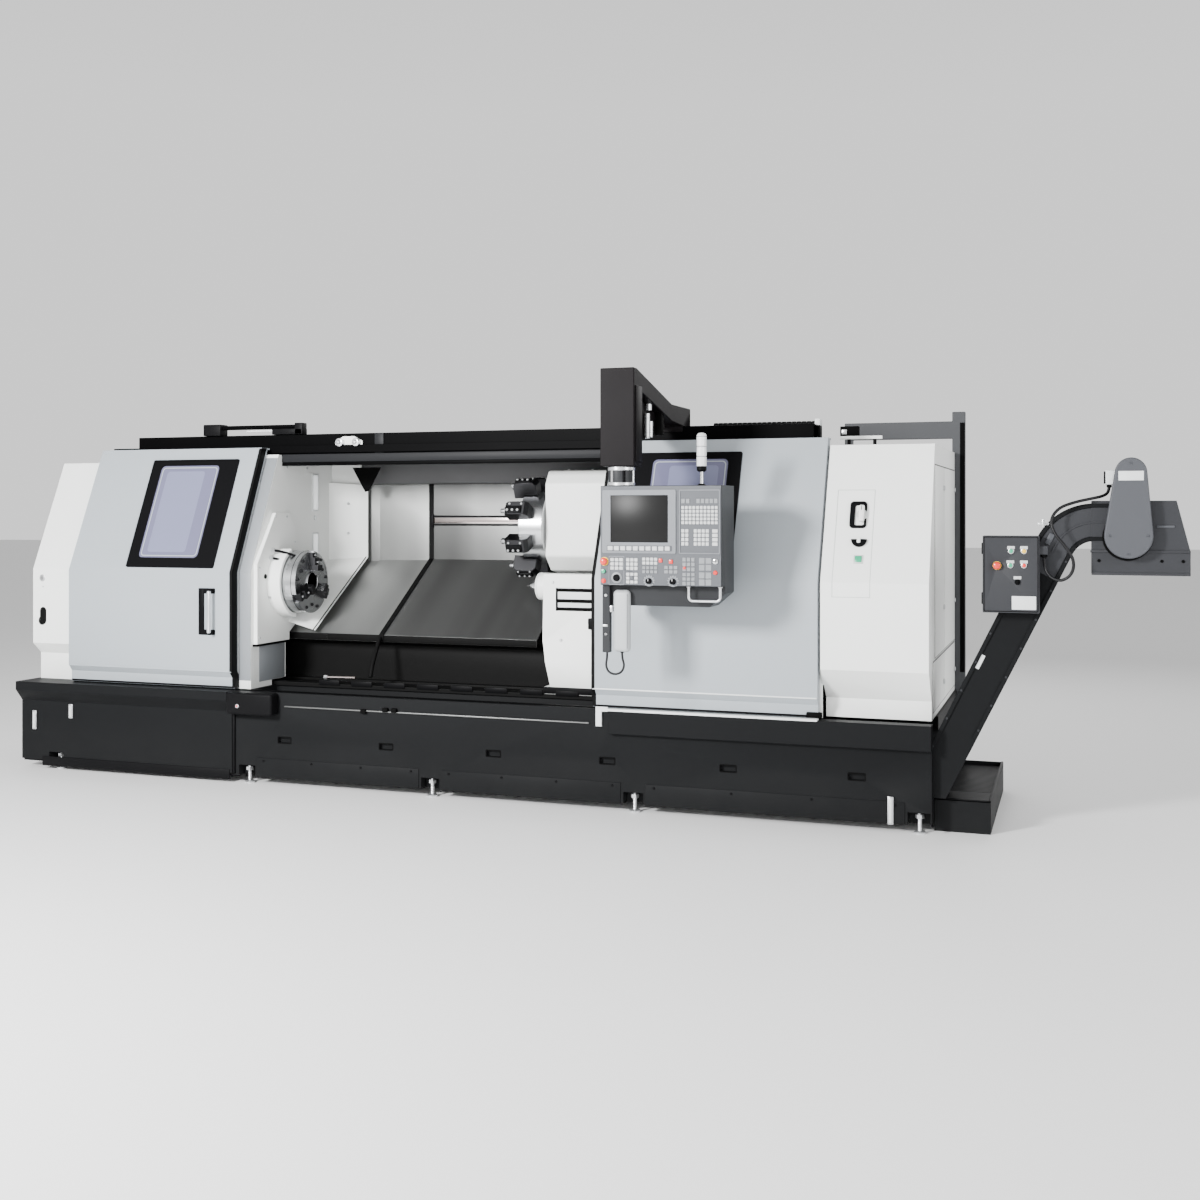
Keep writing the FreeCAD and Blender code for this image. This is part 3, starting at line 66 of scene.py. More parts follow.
def soft_box(name, place, aim, size, power, tint=(1.0, 1.0, 1.0)):
    """An area light at a place, turned to its aim."""
    light = bpy.data.lights.new(name, "AREA")
    light.shape = "RECTANGLE"
    light.size, light.size_y = size
    light.energy = power
    light.color = tint
    lamp = bpy.data.objects.new(name, light)
    bpy.context.scene.collection.objects.link(lamp)
    lamp.location = place
    lamp.rotation_euler = (Vector(aim) - Vector(place)).to_track_quat("-Z", "Y").to_euler()
    return lamp


soft_box("key_soft_box", (-2.6, -7.4, 3.7), (0.4, -0.4, 1.2), (1.3, 1.3), 1250)
fill = soft_box("front_soft_box", (1.5, -9.5, 1.6), (0.0, 0.0, 0.9), (7.0, 2.4), 330)
fill.visible_glossy = False
soft_box("right_soft_box", (7.5, -4.0, 3.0), (1.5, 0.0, 1.2), (3.0, 3.0), 230)
soft_box("rear_soft_box", (0.0, 6.0, 5.0), (0.0, 0.2, 1.4), (8.0, 3.0), 260)

sky = bpy.data.worlds.new("pale_studio")
bpy.context.scene.world = sky
sky.use_nodes = True
sky.node_tree.nodes["Background"].inputs["Strength"].default_value = 1.0
direction = sky.node_tree.nodes.new("ShaderNodeTexCoord").outputs["Generated"]
upward = sky.node_tree.nodes.new("ShaderNodeSeparateXYZ")
sky.node_tree.links.new(direction, upward.inputs[0])
fall = sky.node_tree.nodes.new("ShaderNodeMapRange")
fall.inputs["From Min"].default_value = 0.28
fall.inputs["From Max"].default_value = 0.9
fall.inputs["To Min"].default_value = 1.12
fall.inputs["To Max"].default_value = 0.42
sky.node_tree.links.new(upward.outputs["Z"], fall.inputs["Value"])
sky.node_tree.links.new(fall.outputs[0], sky.node_tree.nodes["Background"].inputs["Color"])

floor_size = 60.0
floor_mesh = bpy.data.meshes.new("floor")
corners = np.array([(-1, -1, 0), (1, -1, 0), (1, 1, 0), (-1, 1, 0)]) * floor_size
floor_mesh.from_pydata(corners.tolist(), [], [(0, 1, 2, 3)])
floor = bpy.data.objects.new("floor", floor_mesh)
bpy.context.scene.collection.objects.link(floor)
floor_paint = bpy.data.materials.new("floor_paint")
floor_paint.use_nodes = True
floor_paint.node_tree.nodes["Principled BSDF"].inputs["Base Color"].default_value = (0.90, 0.90, 0.90, 1)
floor_paint.node_tree.nodes["Principled BSDF"].inputs["Roughness"].default_value = 0.6
floor_mesh.materials.append(floor_paint)

# ======================================================================== finishes' shared effects
# Three surface effects that most of the machine's finishes share: the fine texture of powder coat and
# cast iron, the drawn lines of brushed sheet, and the dust that settles low on a machine.


def effect(name, inputs, outputs):
    """A node group with named number or vector inputs at their defaults, and named number outputs."""
    group = bpy.data.node_groups.new(name, "ShaderNodeTree")
    for label, value in inputs.items():
        kind = "NodeSocketVector" if isinstance(value, tuple) else "NodeSocketFloat"
        group.interface.new_socket(label, in_out="INPUT", socket_type=kind).default_value = value
    for label in outputs:
        group.interface.new_socket(label, in_out="OUTPUT", socket_type="NodeSocketFloat")
    return group, group.nodes.new("NodeGroupInput"), group.nodes.new("NodeGroupOutput")


def noise(tree, vector, scale, detail):
    """A noise texture's value, read at a vector, at a fixed or a linked scale."""
    node = tree.nodes.new("ShaderNodeTexNoise")
    node.inputs["Detail"].default_value = detail
    tree.links.new(vector, node.inputs["Vector"])
    if isinstance(scale, float):
        node.inputs["Scale"].default_value = scale
    else:
        tree.links.new(scale, node.inputs["Scale"])
    return node.outputs["Fac"]


grain, ins, outs = effect("Fine grain", {"Grains per metre": 900.0}, ("Height", "Mottle"))
spot = grain.nodes.new("ShaderNodeTexCoord").outputs["Object"]
grain.links.new(noise(grain, spot, ins.outputs["Grains per metre"], 2.0), outs.inputs["Height"])
grain.links.new(noise(grain, spot, 1.7, 5.0), outs.inputs["Mottle"])

drawn, ins, outs = effect("Drawn lines", {"Stretch": (2.0, 900.0, 900.0), "Bands": (3.0, 0.2, 0.2)},
                          ("Height", "Mottle"))
spot = drawn.nodes.new("ShaderNodeTexCoord").outputs["Object"]
for label, socket, detail in (("Stretch", "Height", 4.0), ("Bands", "Mottle", 2.0)):
    scaled = drawn.nodes.new("ShaderNodeVectorMath")
    scaled.operation = "MULTIPLY"
    drawn.links.new(spot, scaled.inputs[0])
    drawn.links.new(ins.outputs[label], scaled.inputs[1])
    drawn.links.new(noise(drawn, scaled.outputs[0], 1.0, detail), outs.inputs[socket])

dust, ins, outs = effect("Settled dust", {"Height reached": 0.35, "Amount": 0.3}, ("Mask",))
spot = dust.nodes.new("ShaderNodeTexCoord").outputs["Object"]
split = dust.nodes.new("ShaderNodeSeparateXYZ")
dust.links.new(spot, split.inputs[0])
fade = dust.nodes.new("ShaderNodeMapRange")
fade.inputs["To Min"].default_value = 1.0
fade.inputs["To Max"].default_value = 0.0
dust.links.new(split.outputs["Z"], fade.inputs["Value"])
dust.links.new(ins.outputs["Height reached"], fade.inputs["From Max"])
patchy = dust.nodes.new("ShaderNodeMath")
patchy.operation = "MULTIPLY"
dust.links.new(fade.outputs[0], patchy.inputs[0])
dust.links.new(noise(dust, spot, 6.0, 6.0), patchy.inputs[1])
scaled = dust.nodes.new("ShaderNodeMath")
scaled.operation = "MULTIPLY"
dust.links.new(patchy.outputs[0], scaled.inputs[0])
dust.links.new(ins.outputs["Amount"], scaled.inputs[1])
dust.links.new(scaled.outputs[0], outs.inputs["Mask"])


FACTOR, COLOUR_A, COLOUR_B, COLOUR_OUT = 0, 6, 7, 2


def finish(name, colour, roughness, metallic=0.0, grains=900.0, depth=0.05, mottle=0.05, lines=None,
           dusty=0.0, coat=0.0, glow=0.0, clear=0.0, gleam=0.5):
    """A finish: a colour varied by a mottle, roughness that follows it, and a fine relief.

    lines is the stretch of a drawn finish's lines, dusty how much dust lies low on it, coat a clear
    lacquer, glow a lamp's light, clear how much light passes through and gleam how much it mirrors.
    """
    material = bpy.data.materials.new(name)
    material.use_nodes = True
    tree = material.node_tree
    shader = tree.nodes["Principled BSDF"]
    shader.inputs["Metallic"].default_value = metallic
    shader.inputs["Specular IOR Level"].default_value = gleam
    shader.inputs["Coat Weight"].default_value = coat
    shader.inputs["Coat Roughness"].default_value = 0.12
    shader.inputs["Transmission Weight"].default_value = clear
    if glow:
        shader.inputs["Emission Color"].default_value = (*colour, 1)
        shader.inputs["Emission Strength"].default_value = glow
    texture = tree.nodes.new("ShaderNodeGroup")
    texture.node_tree = drawn if lines else grain
    if lines:
        texture.inputs["Stretch"].default_value = lines
        texture.inputs["Bands"].default_value = tuple(3.2 if step < 10 else 0.25 for step in lines)
    else:
        texture.inputs["Grains per metre"].default_value = grains
    blend = tree.nodes.new("ShaderNodeMix")
    blend.data_type = "RGBA"
    tree.links.new(texture.outputs["Mottle"], blend.inputs[FACTOR])
    for socket, share in ((COLOUR_A, 1 - mottle), (COLOUR_B, 1 + mottle)):
        shade = tuple(min(1.0, channel * share) for channel in colour)
        blend.inputs[socket].default_value = (*shade, 1)
    result = blend.outputs[COLOUR_OUT]
    if dusty:
        settled = tree.nodes.new("ShaderNodeGroup")
        settled.node_tree = dust
        settled.inputs["Amount"].default_value = dusty
        cover = tree.nodes.new("ShaderNodeMix")
        cover.data_type = "RGBA"
        cover.inputs[COLOUR_B].default_value = (0.33, 0.32, 0.30, 1)
        tree.links.new(settled.outputs["Mask"], cover.inputs[FACTOR])
        tree.links.new(result, cover.inputs[COLOUR_A])
        result = cover.outputs[COLOUR_OUT]
    tree.links.new(result, shader.inputs["Base Color"])
    gloss = tree.nodes.new("ShaderNodeMapRange")
    gloss.inputs["To Min"].default_value = roughness * 0.85
    gloss.inputs["To Max"].default_value = min(1.0, roughness * 1.15)
    tree.links.new(texture.outputs["Mottle"], gloss.inputs["Value"])
    tree.links.new(gloss.outputs[0], shader.inputs["Roughness"])
    relief = tree.nodes.new("ShaderNodeBump")
    relief.inputs["Strength"].default_value = depth
    relief.inputs["Distance"].default_value = 0.001
    tree.links.new(texture.outputs["Height"], relief.inputs["Height"])
    tree.links.new(relief.outputs["Normal"], shader.inputs["Normal"])
    return material


# ======================================================================== cords
# Two black PVC-sheathed leads: the power lead of the conveyor's gearmotor, hung in a loose loop between
# its junction box and the control box, and the handset's lead, looped back up to its bracket.

black_sheath = finish("black_sheath", (0.006, 0.006, 0.007), 0.45, grains=500.0, depth=0.08, gleam=0.25)


def hung_lead(name, body, node, route, diameter):
    """A lead: a smooth spline that the route's points steer, round in section, tied to its CAD solid."""
    line = bpy.data.curves.new(name, "CURVE")
    line.dimensions = "3D"
    line.bevel_depth = diameter / 2
    line.bevel_resolution = 5
    line.resolution_u = 12
    line.use_fill_caps = True
    spline = line.splines.new("NURBS")
    spline.points.add(len(route) - 1)
    for point, place in zip(spline.points, route):
        point.co = (*place, 1)
    spline.order_u = 3
    spline.use_endpoint_u = True
    line.materials.append(black_sheath)
    lead = bpy.data.objects.new(name, line)
    bpy.context.scene.collection.objects.link(lead)
    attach(lead, body)
    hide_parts(node)
    return lead


conveyor_route = [
    (3.250, -0.560, 1.860), (3.250, -0.560, 1.826), (3.224, -0.592, 1.803), (3.168, -0.630, 1.790),
    (3.085, -0.648, 1.772), (3.003, -0.664, 1.742), (2.963, -0.684, 1.680), (2.983, -0.698, 1.608),
    (3.038, -0.706, 1.545), (3.082, -0.704, 1.472), (3.071, -0.696, 1.400), (3.016, -0.684, 1.362),
    (2.958, -0.670, 1.386), (2.932, -0.655, 1.444), (2.932, -0.655, 1.500)]
handset_route = [
    (0.776, -1.084, 0.965), (0.776, -1.084, 0.932), (0.792, -1.090, 0.893), (0.777, -1.096, 0.855),
    (0.738, -1.098, 0.842), (0.699, -1.095, 0.856), (0.684, -1.088, 0.893), (0.689, -1.080, 0.928),
    (0.689, -1.080, 0.961)]
hung_lead("conveyor_lead", "machine", "conveyor_cable", conveyor_route, 0.016)
hung_lead("handset_lead", "pendant", "handset_cord", handset_route, 0.012)

# ======================================================================== base
# The welded and ribbed base, powder coated in charcoal with a fine texture. It stands on ten levelling
# feet and carries screwed-on skirting plates, oil sight glasses and a warning-light box in front.


def merged(shapes):
    """Several shapes as one: their points stacked, and each face's numbers moved on to match."""
    points, faces, count = [], [], 0
    for verts, polygons in shapes:
        points.append(verts)
        faces += [[corner + count for corner in polygon] for polygon in polygons]
        count += len(verts)
    return np.concatenate(points), faces


def quads(rows, columns):
    """Faces that join a grid of points row to row, each row closed on itself, with both ends capped."""
    row = np.arange(rows - 1)[:, None] * columns
    here = np.arange(columns)[None, :]
    after = (here + 1) % columns
    sides = np.stack([row + here, row + after, row + columns + after, row + columns + here], -1)
    ends = [list(range(columns))[::-1], list(range((rows - 1) * columns, rows * columns))]
    return sides.reshape(-1, 4).tolist() + ends


AXES = {"x": (1, 2, 0), "y": (0, 2, 1), "z": (0, 1, 2)}


def laid(axis, across, upward, along):
    """Points from two coordinates across an axis and one along it."""
    points = np.empty((*np.broadcast(across, upward, along).shape, 3))
    for column, values in zip(AXES[axis], (across, upward, along)):
        points[..., column] = values
    return points.reshape(-1, 3)


def block(low, high, radius=0.004, steps=2):
    """A box with rounded edges: a box drawn in by the radius, plus the radius times each unit direction.

    With longitude t and latitude p the direction is (cos p cos t, cos p sin t, sin p). Each quarter of t
    is centred on one upright edge, and each half of p on the bottom or the top.
    """
    low, high = np.minimum(low, high), np.maximum(low, high)
    radius = min(radius, (high - low).min() * 0.49)
    half = (high - low) / 2 - radius
    arc = np.linspace(0, math.pi / 2, steps + 1)
    t = (np.arange(4)[:, None] * math.pi / 2 + arc).ravel()
    p = np.concatenate([arc - math.pi / 2, arc])[:, None]
    sign_x = np.repeat([1, -1, -1, 1], steps + 1)
    sign_y = np.repeat([1, 1, -1, -1], steps + 1)
    sign_z = np.repeat([-1, 1], steps + 1)[:, None]
    x = sign_x * half[0] + radius * np.cos(p) * np.cos(t)
    y = sign_y * half[1] + radius * np.cos(p) * np.sin(t)
    z = sign_z * half[2] + radius * np.sin(p) + 0 * t
    return np.stack([x, y, z], -1).reshape(-1, 3) + (low + high) / 2, quads(*x.shape)


def turned(axis, centre, profile, segments=40):
    """A turned part: each (distance along the axis, radius) of the profile swept about the axis.

    The point at angle t is centre + distance along the axis + radius (cos t, sin t) across it.
    """
    along, radius = np.array(profile, float).T[:, :, None]
    t = np.arange(segments) / segments * 2 * math.pi
    points = laid(axis, radius * np.cos(t), radius * np.sin(t), along + 0 * t)
    return points + np.array(centre, float), quads(len(profile), segments)


def inset(outline, distance):
    """An outline moved inwards: each corner goes along its mitre, (n1 + n2) / (1 + n1.n2)."""
    ahead = np.roll(outline, -1, 0) - outline
    ahead = ahead / np.linalg.norm(ahead, axis=1)[:, None]
    turn = np.sign(
        np.sum(outline[:, 0] * np.roll(outline[:, 1], -1) - np.roll(outline[:, 0], -1) * outline[:, 1]))
    normal = np.stack([-ahead[:, 1], ahead[:, 0]], -1) * turn
    before = np.roll(normal, 1, 0)
    mitre = (normal + before) / (1 + np.sum(normal * before, 1))[:, None]
    return outline + mitre * distance


def plate(axis, outline, start, end, edge=0.002):
    """A plate across an axis: its outline carried from start to end, and drawn in by the edge at both."""
    outline = np.array(outline, float)
    drawn_in = inset(outline, edge)
    rings = [drawn_in, outline, outline, drawn_in]
    levels = [start, start + edge, end - edge, end]
    points = [laid(axis, ring[:, 0], ring[:, 1], level) for ring, level in zip(rings, levels)]
    return np.concatenate(points), quads(4, len(outline))


def ring_plate(low, high, border, start, end, radius):
    """A rounded frame in the XZ plane: outer and inner rounded rectangles joined through its depth.

    border gives the frame's width at the left, right, bottom and top.
    """
    def rounded(x0, z0, x1, z1, r, steps=6):
        t = (np.arange(4)[:, None] * math.pi / 2 + np.linspace(0, math.pi / 2, steps)).ravel()
        cx = np.repeat([x1 - r, x0 + r, x0 + r, x1 - r], steps)
        cz = np.repeat([z1 - r, z1 - r, z0 + r, z0 + r], steps)
        return cx + r * np.cos(t), cz + r * np.sin(t)
    outer = rounded(low[0], low[1], high[0], high[1], radius[0])
    inner = rounded(
        low[0] + border[0], low[1] + border[2], high[0] - border[1], high[1] - border[3], radius[1])
    rings = [(outer, end), (outer, start), (inner, start), (inner, end)]
    points = np.concatenate([laid("y", x, z, y) for (x, z), y in rings])
    columns = len(outer[0])
    faces = quads(4, columns)[:-2]
    last = np.arange(columns)
    closing = np.stack(
        [3 * columns + last, 3 * columns + (last + 1) % columns, (last + 1) % columns, last], -1)
    return points, faces + closing.tolist()


def hose(path, radius, sides=12):
    """A round bar along a path: circles across it, each laid out from the same fixed direction."""
    path = np.array(path, float)
    ahead = np.gradient(path, axis=0)
    ahead /= np.linalg.norm(ahead, axis=1)[:, None]
    steady = np.array([0.31, 0.17, 0.93])
    side = np.cross(ahead, steady)
    side /= np.linalg.norm(side, axis=1)[:, None]
    up = np.cross(ahead, side)
    t = (np.arange(sides) / sides * 2 * math.pi)[None, :, None]
    points = path[:, None] + radius * (side[:, None] * np.cos(t) + up[:, None] * np.sin(t))
    return points.reshape(-1, 3), quads(len(path), sides)


def copies(shape, offsets):
    """The same shape at several offsets."""
    return merged([(shape[0] + np.array(offset, float), shape[1]) for offset in offsets])


def spun(shape, axis, degrees, centre=(0, 0, 0)):
    """A shape turned about a line along an axis, right-handed."""
    first, second = {"x": (1, 2), "y": (2, 0), "z": (0, 1)}[axis]
    points = shape[0] - np.array(centre, float)
    turned_points = points.copy()
    c, s = math.cos(math.radians(degrees)), math.sin(math.radians(degrees))
    turned_points[:, first] = c * points[:, first] - s * points[:, second]
    turned_points[:, second] = s * points[:, first] + c * points[:, second]
    return turned_points + np.array(centre, float), shape[1]


def piece(name, body, parts, stands_for=()):
    """A piece made of (shape, finish) parts, its doubles merged and its faces turned outwards."""
    verts, faces = merged([shape for shape, _ in parts])
    mesh = bpy.data.meshes.new(name)
    mesh.from_pydata(verts.tolist(), [], faces)
    finishes = list(dict.fromkeys(material for _, material in parts))
    for material in finishes:
        mesh.materials.append(material)
    numbers = [finishes.index(material) for (_, polygons), material in parts for _ in polygons]
    mesh.polygons.foreach_set("material_index", numbers)
    tidy = bmesh.new()
    tidy.from_mesh(mesh)
    bmesh.ops.remove_doubles(tidy, verts=tidy.verts, dist=1e-6)
    bmesh.ops.recalc_face_normals(tidy, faces=tidy.faces)
    tidy.to_mesh(mesh)
    tidy.free()
    mesh.shade_smooth()
    mesh.set_sharp_from_angle(angle=math.radians(32))
    thing = bpy.data.objects.new(name, mesh)
    bpy.context.scene.collection.objects.link(thing)
    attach(thing, body)
    if stands_for:
        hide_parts(*stands_for)
    return thing


node_body = {node: body for body, nodes in frame["record"]["behaviour"]["bodies"].items() for node in nodes}


def dressed(node, material, edge=0.002):
    """A CAD node's own form with its sharp edges broken, in its finish."""
    mesh = frame["nodes"][node].data.copy()
    mesh.name = node + "_dressed"
    tidy = bmesh.new()
    tidy.from_mesh(mesh)
    bmesh.ops.remove_doubles(tidy, verts=tidy.verts, dist=2e-5)
    bmesh.ops.dissolve_limit(tidy, angle_limit=math.radians(0.5), verts=tidy.verts, edges=tidy.edges)
    bmesh.ops.connect_verts_concave(tidy, faces=tidy.faces)
    tidy.to_mesh(mesh)
    tidy.free()
    mesh.materials.clear()
    mesh.materials.append(material)
    mesh.shade_smooth()
    mesh.set_sharp_from_angle(angle=math.radians(32))
    thing = bpy.data.objects.new(node + "_dressed", mesh)
    bpy.context.scene.collection.objects.link(thing)
    broken = thing.modifiers.new("broken_edges", "BEVEL")
    broken.width = edge
    broken.segments = 2
    broken.limit_method = "ANGLE"
    broken.angle_limit = math.radians(32)
    broken.harden_normals = True
    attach(thing, node_body[node])
    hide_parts(node)
    return thing


charcoal = finish("charcoal_powder_coat", (0.0072, 0.0076, 0.0082), 0.5, grains=1400.0, depth=0.16,
                  mottle=0.08, dusty=0.015, gleam=0.06)
charcoal_trim = finish("charcoal_trim", (0.0045, 0.0045, 0.005), 0.45, grains=1400.0, depth=0.12, gleam=0.06)
seam_and_painted_shadow_black = finish("seam_shadow", (0.0025, 0.0025, 0.0025), 0.75, grains=500.0, depth=0.1, gleam=0.05)
zinc = finish("zinc_plate", (0.66, 0.67, 0.68), 0.34, metallic=0.9, grains=300.0, depth=0.04)
pale_trim_and_painted_highlight = finish("pale_trim_and_painted_highlight", (0.70, 0.72, 0.72), 0.38, grains=900.0, depth=0.05)
level_glass = finish("level_glass", (0.85, 0.88, 0.86), 0.08, clear=0.25, coat=1.0)
lamp_red = finish("lamp_red", (0.8, 0.01, 0.02), 0.25, glow=0.6)

dressed("base_frame", charcoal, 0.004)
base_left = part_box("base_frame")[0][0]
base_front = -0.650


def cap_screw(axis, centre, radius, toward=-1):
    """A domed cap screw: a turned head with a round socket, standing out along the axis."""
    rise = toward * radius
    return turned(
        axis, centre,
        [
            (0, 0), (0, radius), (rise * 0.55, radius), (rise * 0.8, radius * 0.82),
            (rise * 0.8, radius * 0.42), (rise * 0.45, radius * 0.4), (rise * 0.45, 0)],
        20)


foot_x = [-3.350, -1.877, -0.590, 0.697, 2.299]
skirt_parts = []
for left_foot, right_foot in zip(foot_x[1:], foot_x[2:]):
    low = (left_foot + 0.075, base_front - 0.005, 0.050)
    high = (right_foot - 0.075, base_front + 0.001, 0.168)
    skirt_parts.append((block(low, high, 0.002), charcoal))
    for x in np.linspace(low[0] + 0.05, high[0] - 0.05, 4):
        skirt_parts.append((cap_screw("y", (x, low[1], 0.150), 0.007), charcoal_trim))
skirt_parts.append((block((-3.46, -0.676, 0.022), (-1.99, -0.668, 0.085), 0.002), charcoal_trim))
skirt_parts.append((block((-1.982, -0.664, 0.060), (-1.960, -0.645, 0.450), 0.003), charcoal_trim))
rail_metal = finish("worn_rail", (0.15, 0.153, 0.15), 0.4, metallic=0.6, grains=300.0)
skirt_parts.append((block((-1.60, -0.660, 0.497), (0.43, -0.646, 0.505), 0.002), rail_metal))
for x, z in ((-1.055, 0.485), (-0.905, 0.500), (-0.845, 0.500)):
    skirt_parts.append((block((x, -0.672, z), (x + 0.035, -0.646, z + 0.026), 0.004), seam_and_painted_shadow_black))
skirt_parts.append((block((0.547, -0.692, 0.580), (1.760, -0.640, 0.5925), 0.003), pale_trim_and_painted_highlight))
skirt_parts.append((block((1.690, -0.640, 0.590), (1.775, -0.606, 0.622), 0.006), seam_and_painted_shadow_black))
for x in base_left + 2.033 + 0.714 * np.arange(6):
    rim = ring_plate(
        (x - 0.049, 0.266), (x + 0.049, 0.310), (0.005,) * 4, base_front - 0.002, base_front + 0.002,
        (0.006, 0.004))
    skirt_parts.append((rim, seam_and_painted_shadow_black))
piece("base_trim", "machine", skirt_parts)


def sight_glass(x, y, z, length):
    """An oil level glass: a plated frame with a glass set on it."""
    reach = np.array([0.016, length / 2])
    frame_shape = block((x - reach[0], y - 0.010, z - reach[1]), (x + reach[0], y, z + reach[1]), 0.004)
    core = reach - 0.009
    glass = block((x - core[0], y - 0.015, z - core[1]), (x + core[0], y - 0.008, z + core[1]), 0.004)
    return [(frame_shape, zinc), (glass, level_glass)]


piece("oil_sight_glasses", "machine",
      sight_glass(-3.526, -0.668, 0.324, 0.128) + sight_glass(-3.228, -0.668, 0.395, 0.095)
      + sight_glass(2.150, base_front - 0.004, 0.120, 0.150))

bracket = plate(
    "y", [(0.474, 0.486), (0.510, 0.486), (0.510, 0.572), (0.547, 0.572), (0.547, 0.599), (0.474, 0.599)],
    -0.664, -0.650, 0.002)
piece("door_stop_bracket", "machine", [(bracket, pale_trim_and_painted_highlight)])

foot_shapes = []
for x in foot_x:
    for y in (-0.615, 0.865):
        pad = turned(
            "z", (x, y, 0),
            [(0, 0.0), (0, 0.030), (0.004, 0.032), (0.010, 0.032), (0.018, 0.020), (0.018, 0.0)])
        threads = np.arange(0.018, 0.116, 0.0035)
        ridged = [(z, 0.012 - 0.0012 * (number % 2)) for number, z in enumerate(threads)]
        screw = turned("z", (x, y, 0), [(0.014, 0.0), (0.014, 0.011)] + ridged + [(0.115, 0.0)], 24)
        nut = turned(
            "z", (x, y, 0),
            [(0.081, 0.0), (0.081, 0.022), (0.083, 0.024), (0.101, 0.024), (0.103, 0.022), (0.103, 0.0)], 6)
        foot_shapes += [(pad, zinc), (screw, zinc), (nut, zinc)]
piece("feet", "machine", foot_shapes, ["levelling_feet"])

low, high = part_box("indicator_box")
lens_place = (-1.889, low[1] - 0.001, 0.501)
piece(
    "warning_box", "machine",
    [
        (block(low, high, 0.018, 4), charcoal_trim),
        (
            turned(
                "y", lens_place,
                [(0.004, 0.0), (0.004, 0.012), (-0.002, 0.012), (-0.003, 0.008), (-0.003, 0.0)]),
            zinc),
        (turned("y", lens_place, [(0.0, 0.0), (0.0, 0.007), (-0.006, 0.005), (-0.007, 0.0)]), lamp_red),],
    ["indicator_box"])

# ======================================================================== bed
# The slant bed's casting, painted black. A row of low panels stands in front of its apron, and a polished
# steel wash pipe with a nut on its end lies at the foot.

bed_paint = finish(
    "bed_paint", (0.0045, 0.0045, 0.0045), 0.5, grains=700.0, depth=0.2, mottle=0.12, gleam=0.08)
pink_steel = finish("polished_pipe", (0.72, 0.62, 0.60), 0.18, metallic=1.0, grains=200.0, depth=0.02)
dressed("bed_casting", bed_paint, 0.004)

apron_panels = []
for number in range(9):
    x = -1.55 + 0.235 * number
    apron_panels.append((block((x, -0.327, 0.6), (x + 0.15, -0.318, 0.634), 0.003), charcoal_trim))
pipe_x = np.linspace(-1.485, -1.273, 12)
pipe = hose(np.stack([pipe_x, 0 * pipe_x - 0.345, 0.654 + 0.004 * (pipe_x + 1.485) / 0.2], -1), 0.009)
apron_panels += [(pipe, pink_steel), (turned("x", (-1.50, -0.345, 0.654), [
    (0, 0.0), (0, 0.011), (0.004, 0.015), (0.022, 0.015), (0.026, 0.011), (0.026, 0.0)], 6), zinc)]
piece("bed_apron_panels", "machine", apron_panels)

# ======================================================================== fixed covers
# Folded sheet covers, powder coated off-white: the left end cover with its lock and bar hole, the
# headstock's and tail's covers, the roof and the walls round the chuck.

off_white = finish(
    "off_white_powder_coat", (0.87, 0.885, 0.865), 0.40, grains=1600.0, depth=0.08, mottle=0.015)
rubber_black = finish("rubber_seal", (0.003, 0.003, 0.003), 0.62, grains=700.0, depth=0.15, gleam=0.08)
lamp_white = finish("lamp_lens", (0.93, 0.95, 0.97), 0.3, glow=0.55)
for node in ("left_end_cover", "headstock_cover", "chuck_wall", "rear_cover", "right_cabinet"):
    dressed(node, off_white, 0.0025)
dressed("chuck_guard", off_white, 0.003)
left_cover_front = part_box("left_end_cover")[0][1]
spindle_y, spindle_z = -0.2, 1.26
spindle_line = np.array([0.0, spindle_y, spindle_z])


def rounded_slot(centre, width, height, steps=10):
    """An upright slot's outline: two half circles joined by straight sides."""
    t = np.linspace(0, math.pi, steps)
    radius = width / 2
    rise = height / 2 - radius
    upper = np.stack([centre[0] + radius * np.cos(t), centre[1] + rise + radius * np.sin(t)], -1)
    lower = np.stack([centre[0] - radius * np.cos(t), centre[1] - rise - radius * np.sin(t)], -1)
    return np.concatenate([upper, lower])


lock_place = (-3.524, left_cover_front, 1.274)
end_cover_parts = [
    (
        turned(
            "y", lock_place, [(0.002, 0.0), (0.002, 0.024), (-0.004, 0.023), (-0.006, 0.018), (-0.006, 0.0)]
        ),
        zinc),
    (
        block(
            (lock_place[0] - 0.002, left_cover_front - 0.0075, 1.262),
            (lock_place[0] + 0.002, left_cover_front - 0.005, 1.286), 0.001),
        seam_and_painted_shadow_black),
    (
        plate(
            "y", rounded_slot((-3.519, 1.019), 0.052, 0.118), left_cover_front - 0.004,
            left_cover_front + 0.004),
        rubber_black),
    (
        turned(
            "y", (-3.519, left_cover_front, 1.215),
            [(0.001, 0.0), (0.001, 0.006), (-0.003, 0.005), (-0.003, 0.0)], 16),
        zinc),]
bar_ring = turned(
    "x", (-3.605, spindle_y, spindle_z),
    [(-0.001, 0.070), (-0.005, 0.074), (-0.005, 0.092), (0.0, 0.094), (0.002, 0.07)], 48)
end_cover_parts.append((bar_ring, zinc))
closing_sheet = plate(
    "x", [(-0.290, 1.990), (-0.252, 2.097), (0.897, 2.097), (0.897, 1.990)], -3.2695, -3.2665, 0.0005)
end_cover_parts.append((closing_sheet, off_white))
for low, high in (
    ((-1.930, 0.898, 0.600), (-1.885, 0.904, 2.090)), ((-1.930, -0.180, 2.098), (-1.885, 0.902, 2.103))):
    end_cover_parts.append((block(low, high, 0.001), off_white))
piece("end_cover_fittings", "machine", end_cover_parts)

# ======================================================================== work area's end wall
# Round the chuck: a white return sheet with a rubber seal and screws, two work lamps, the guard's collar
# and screws, and the coolant nozzles beside the chuck.

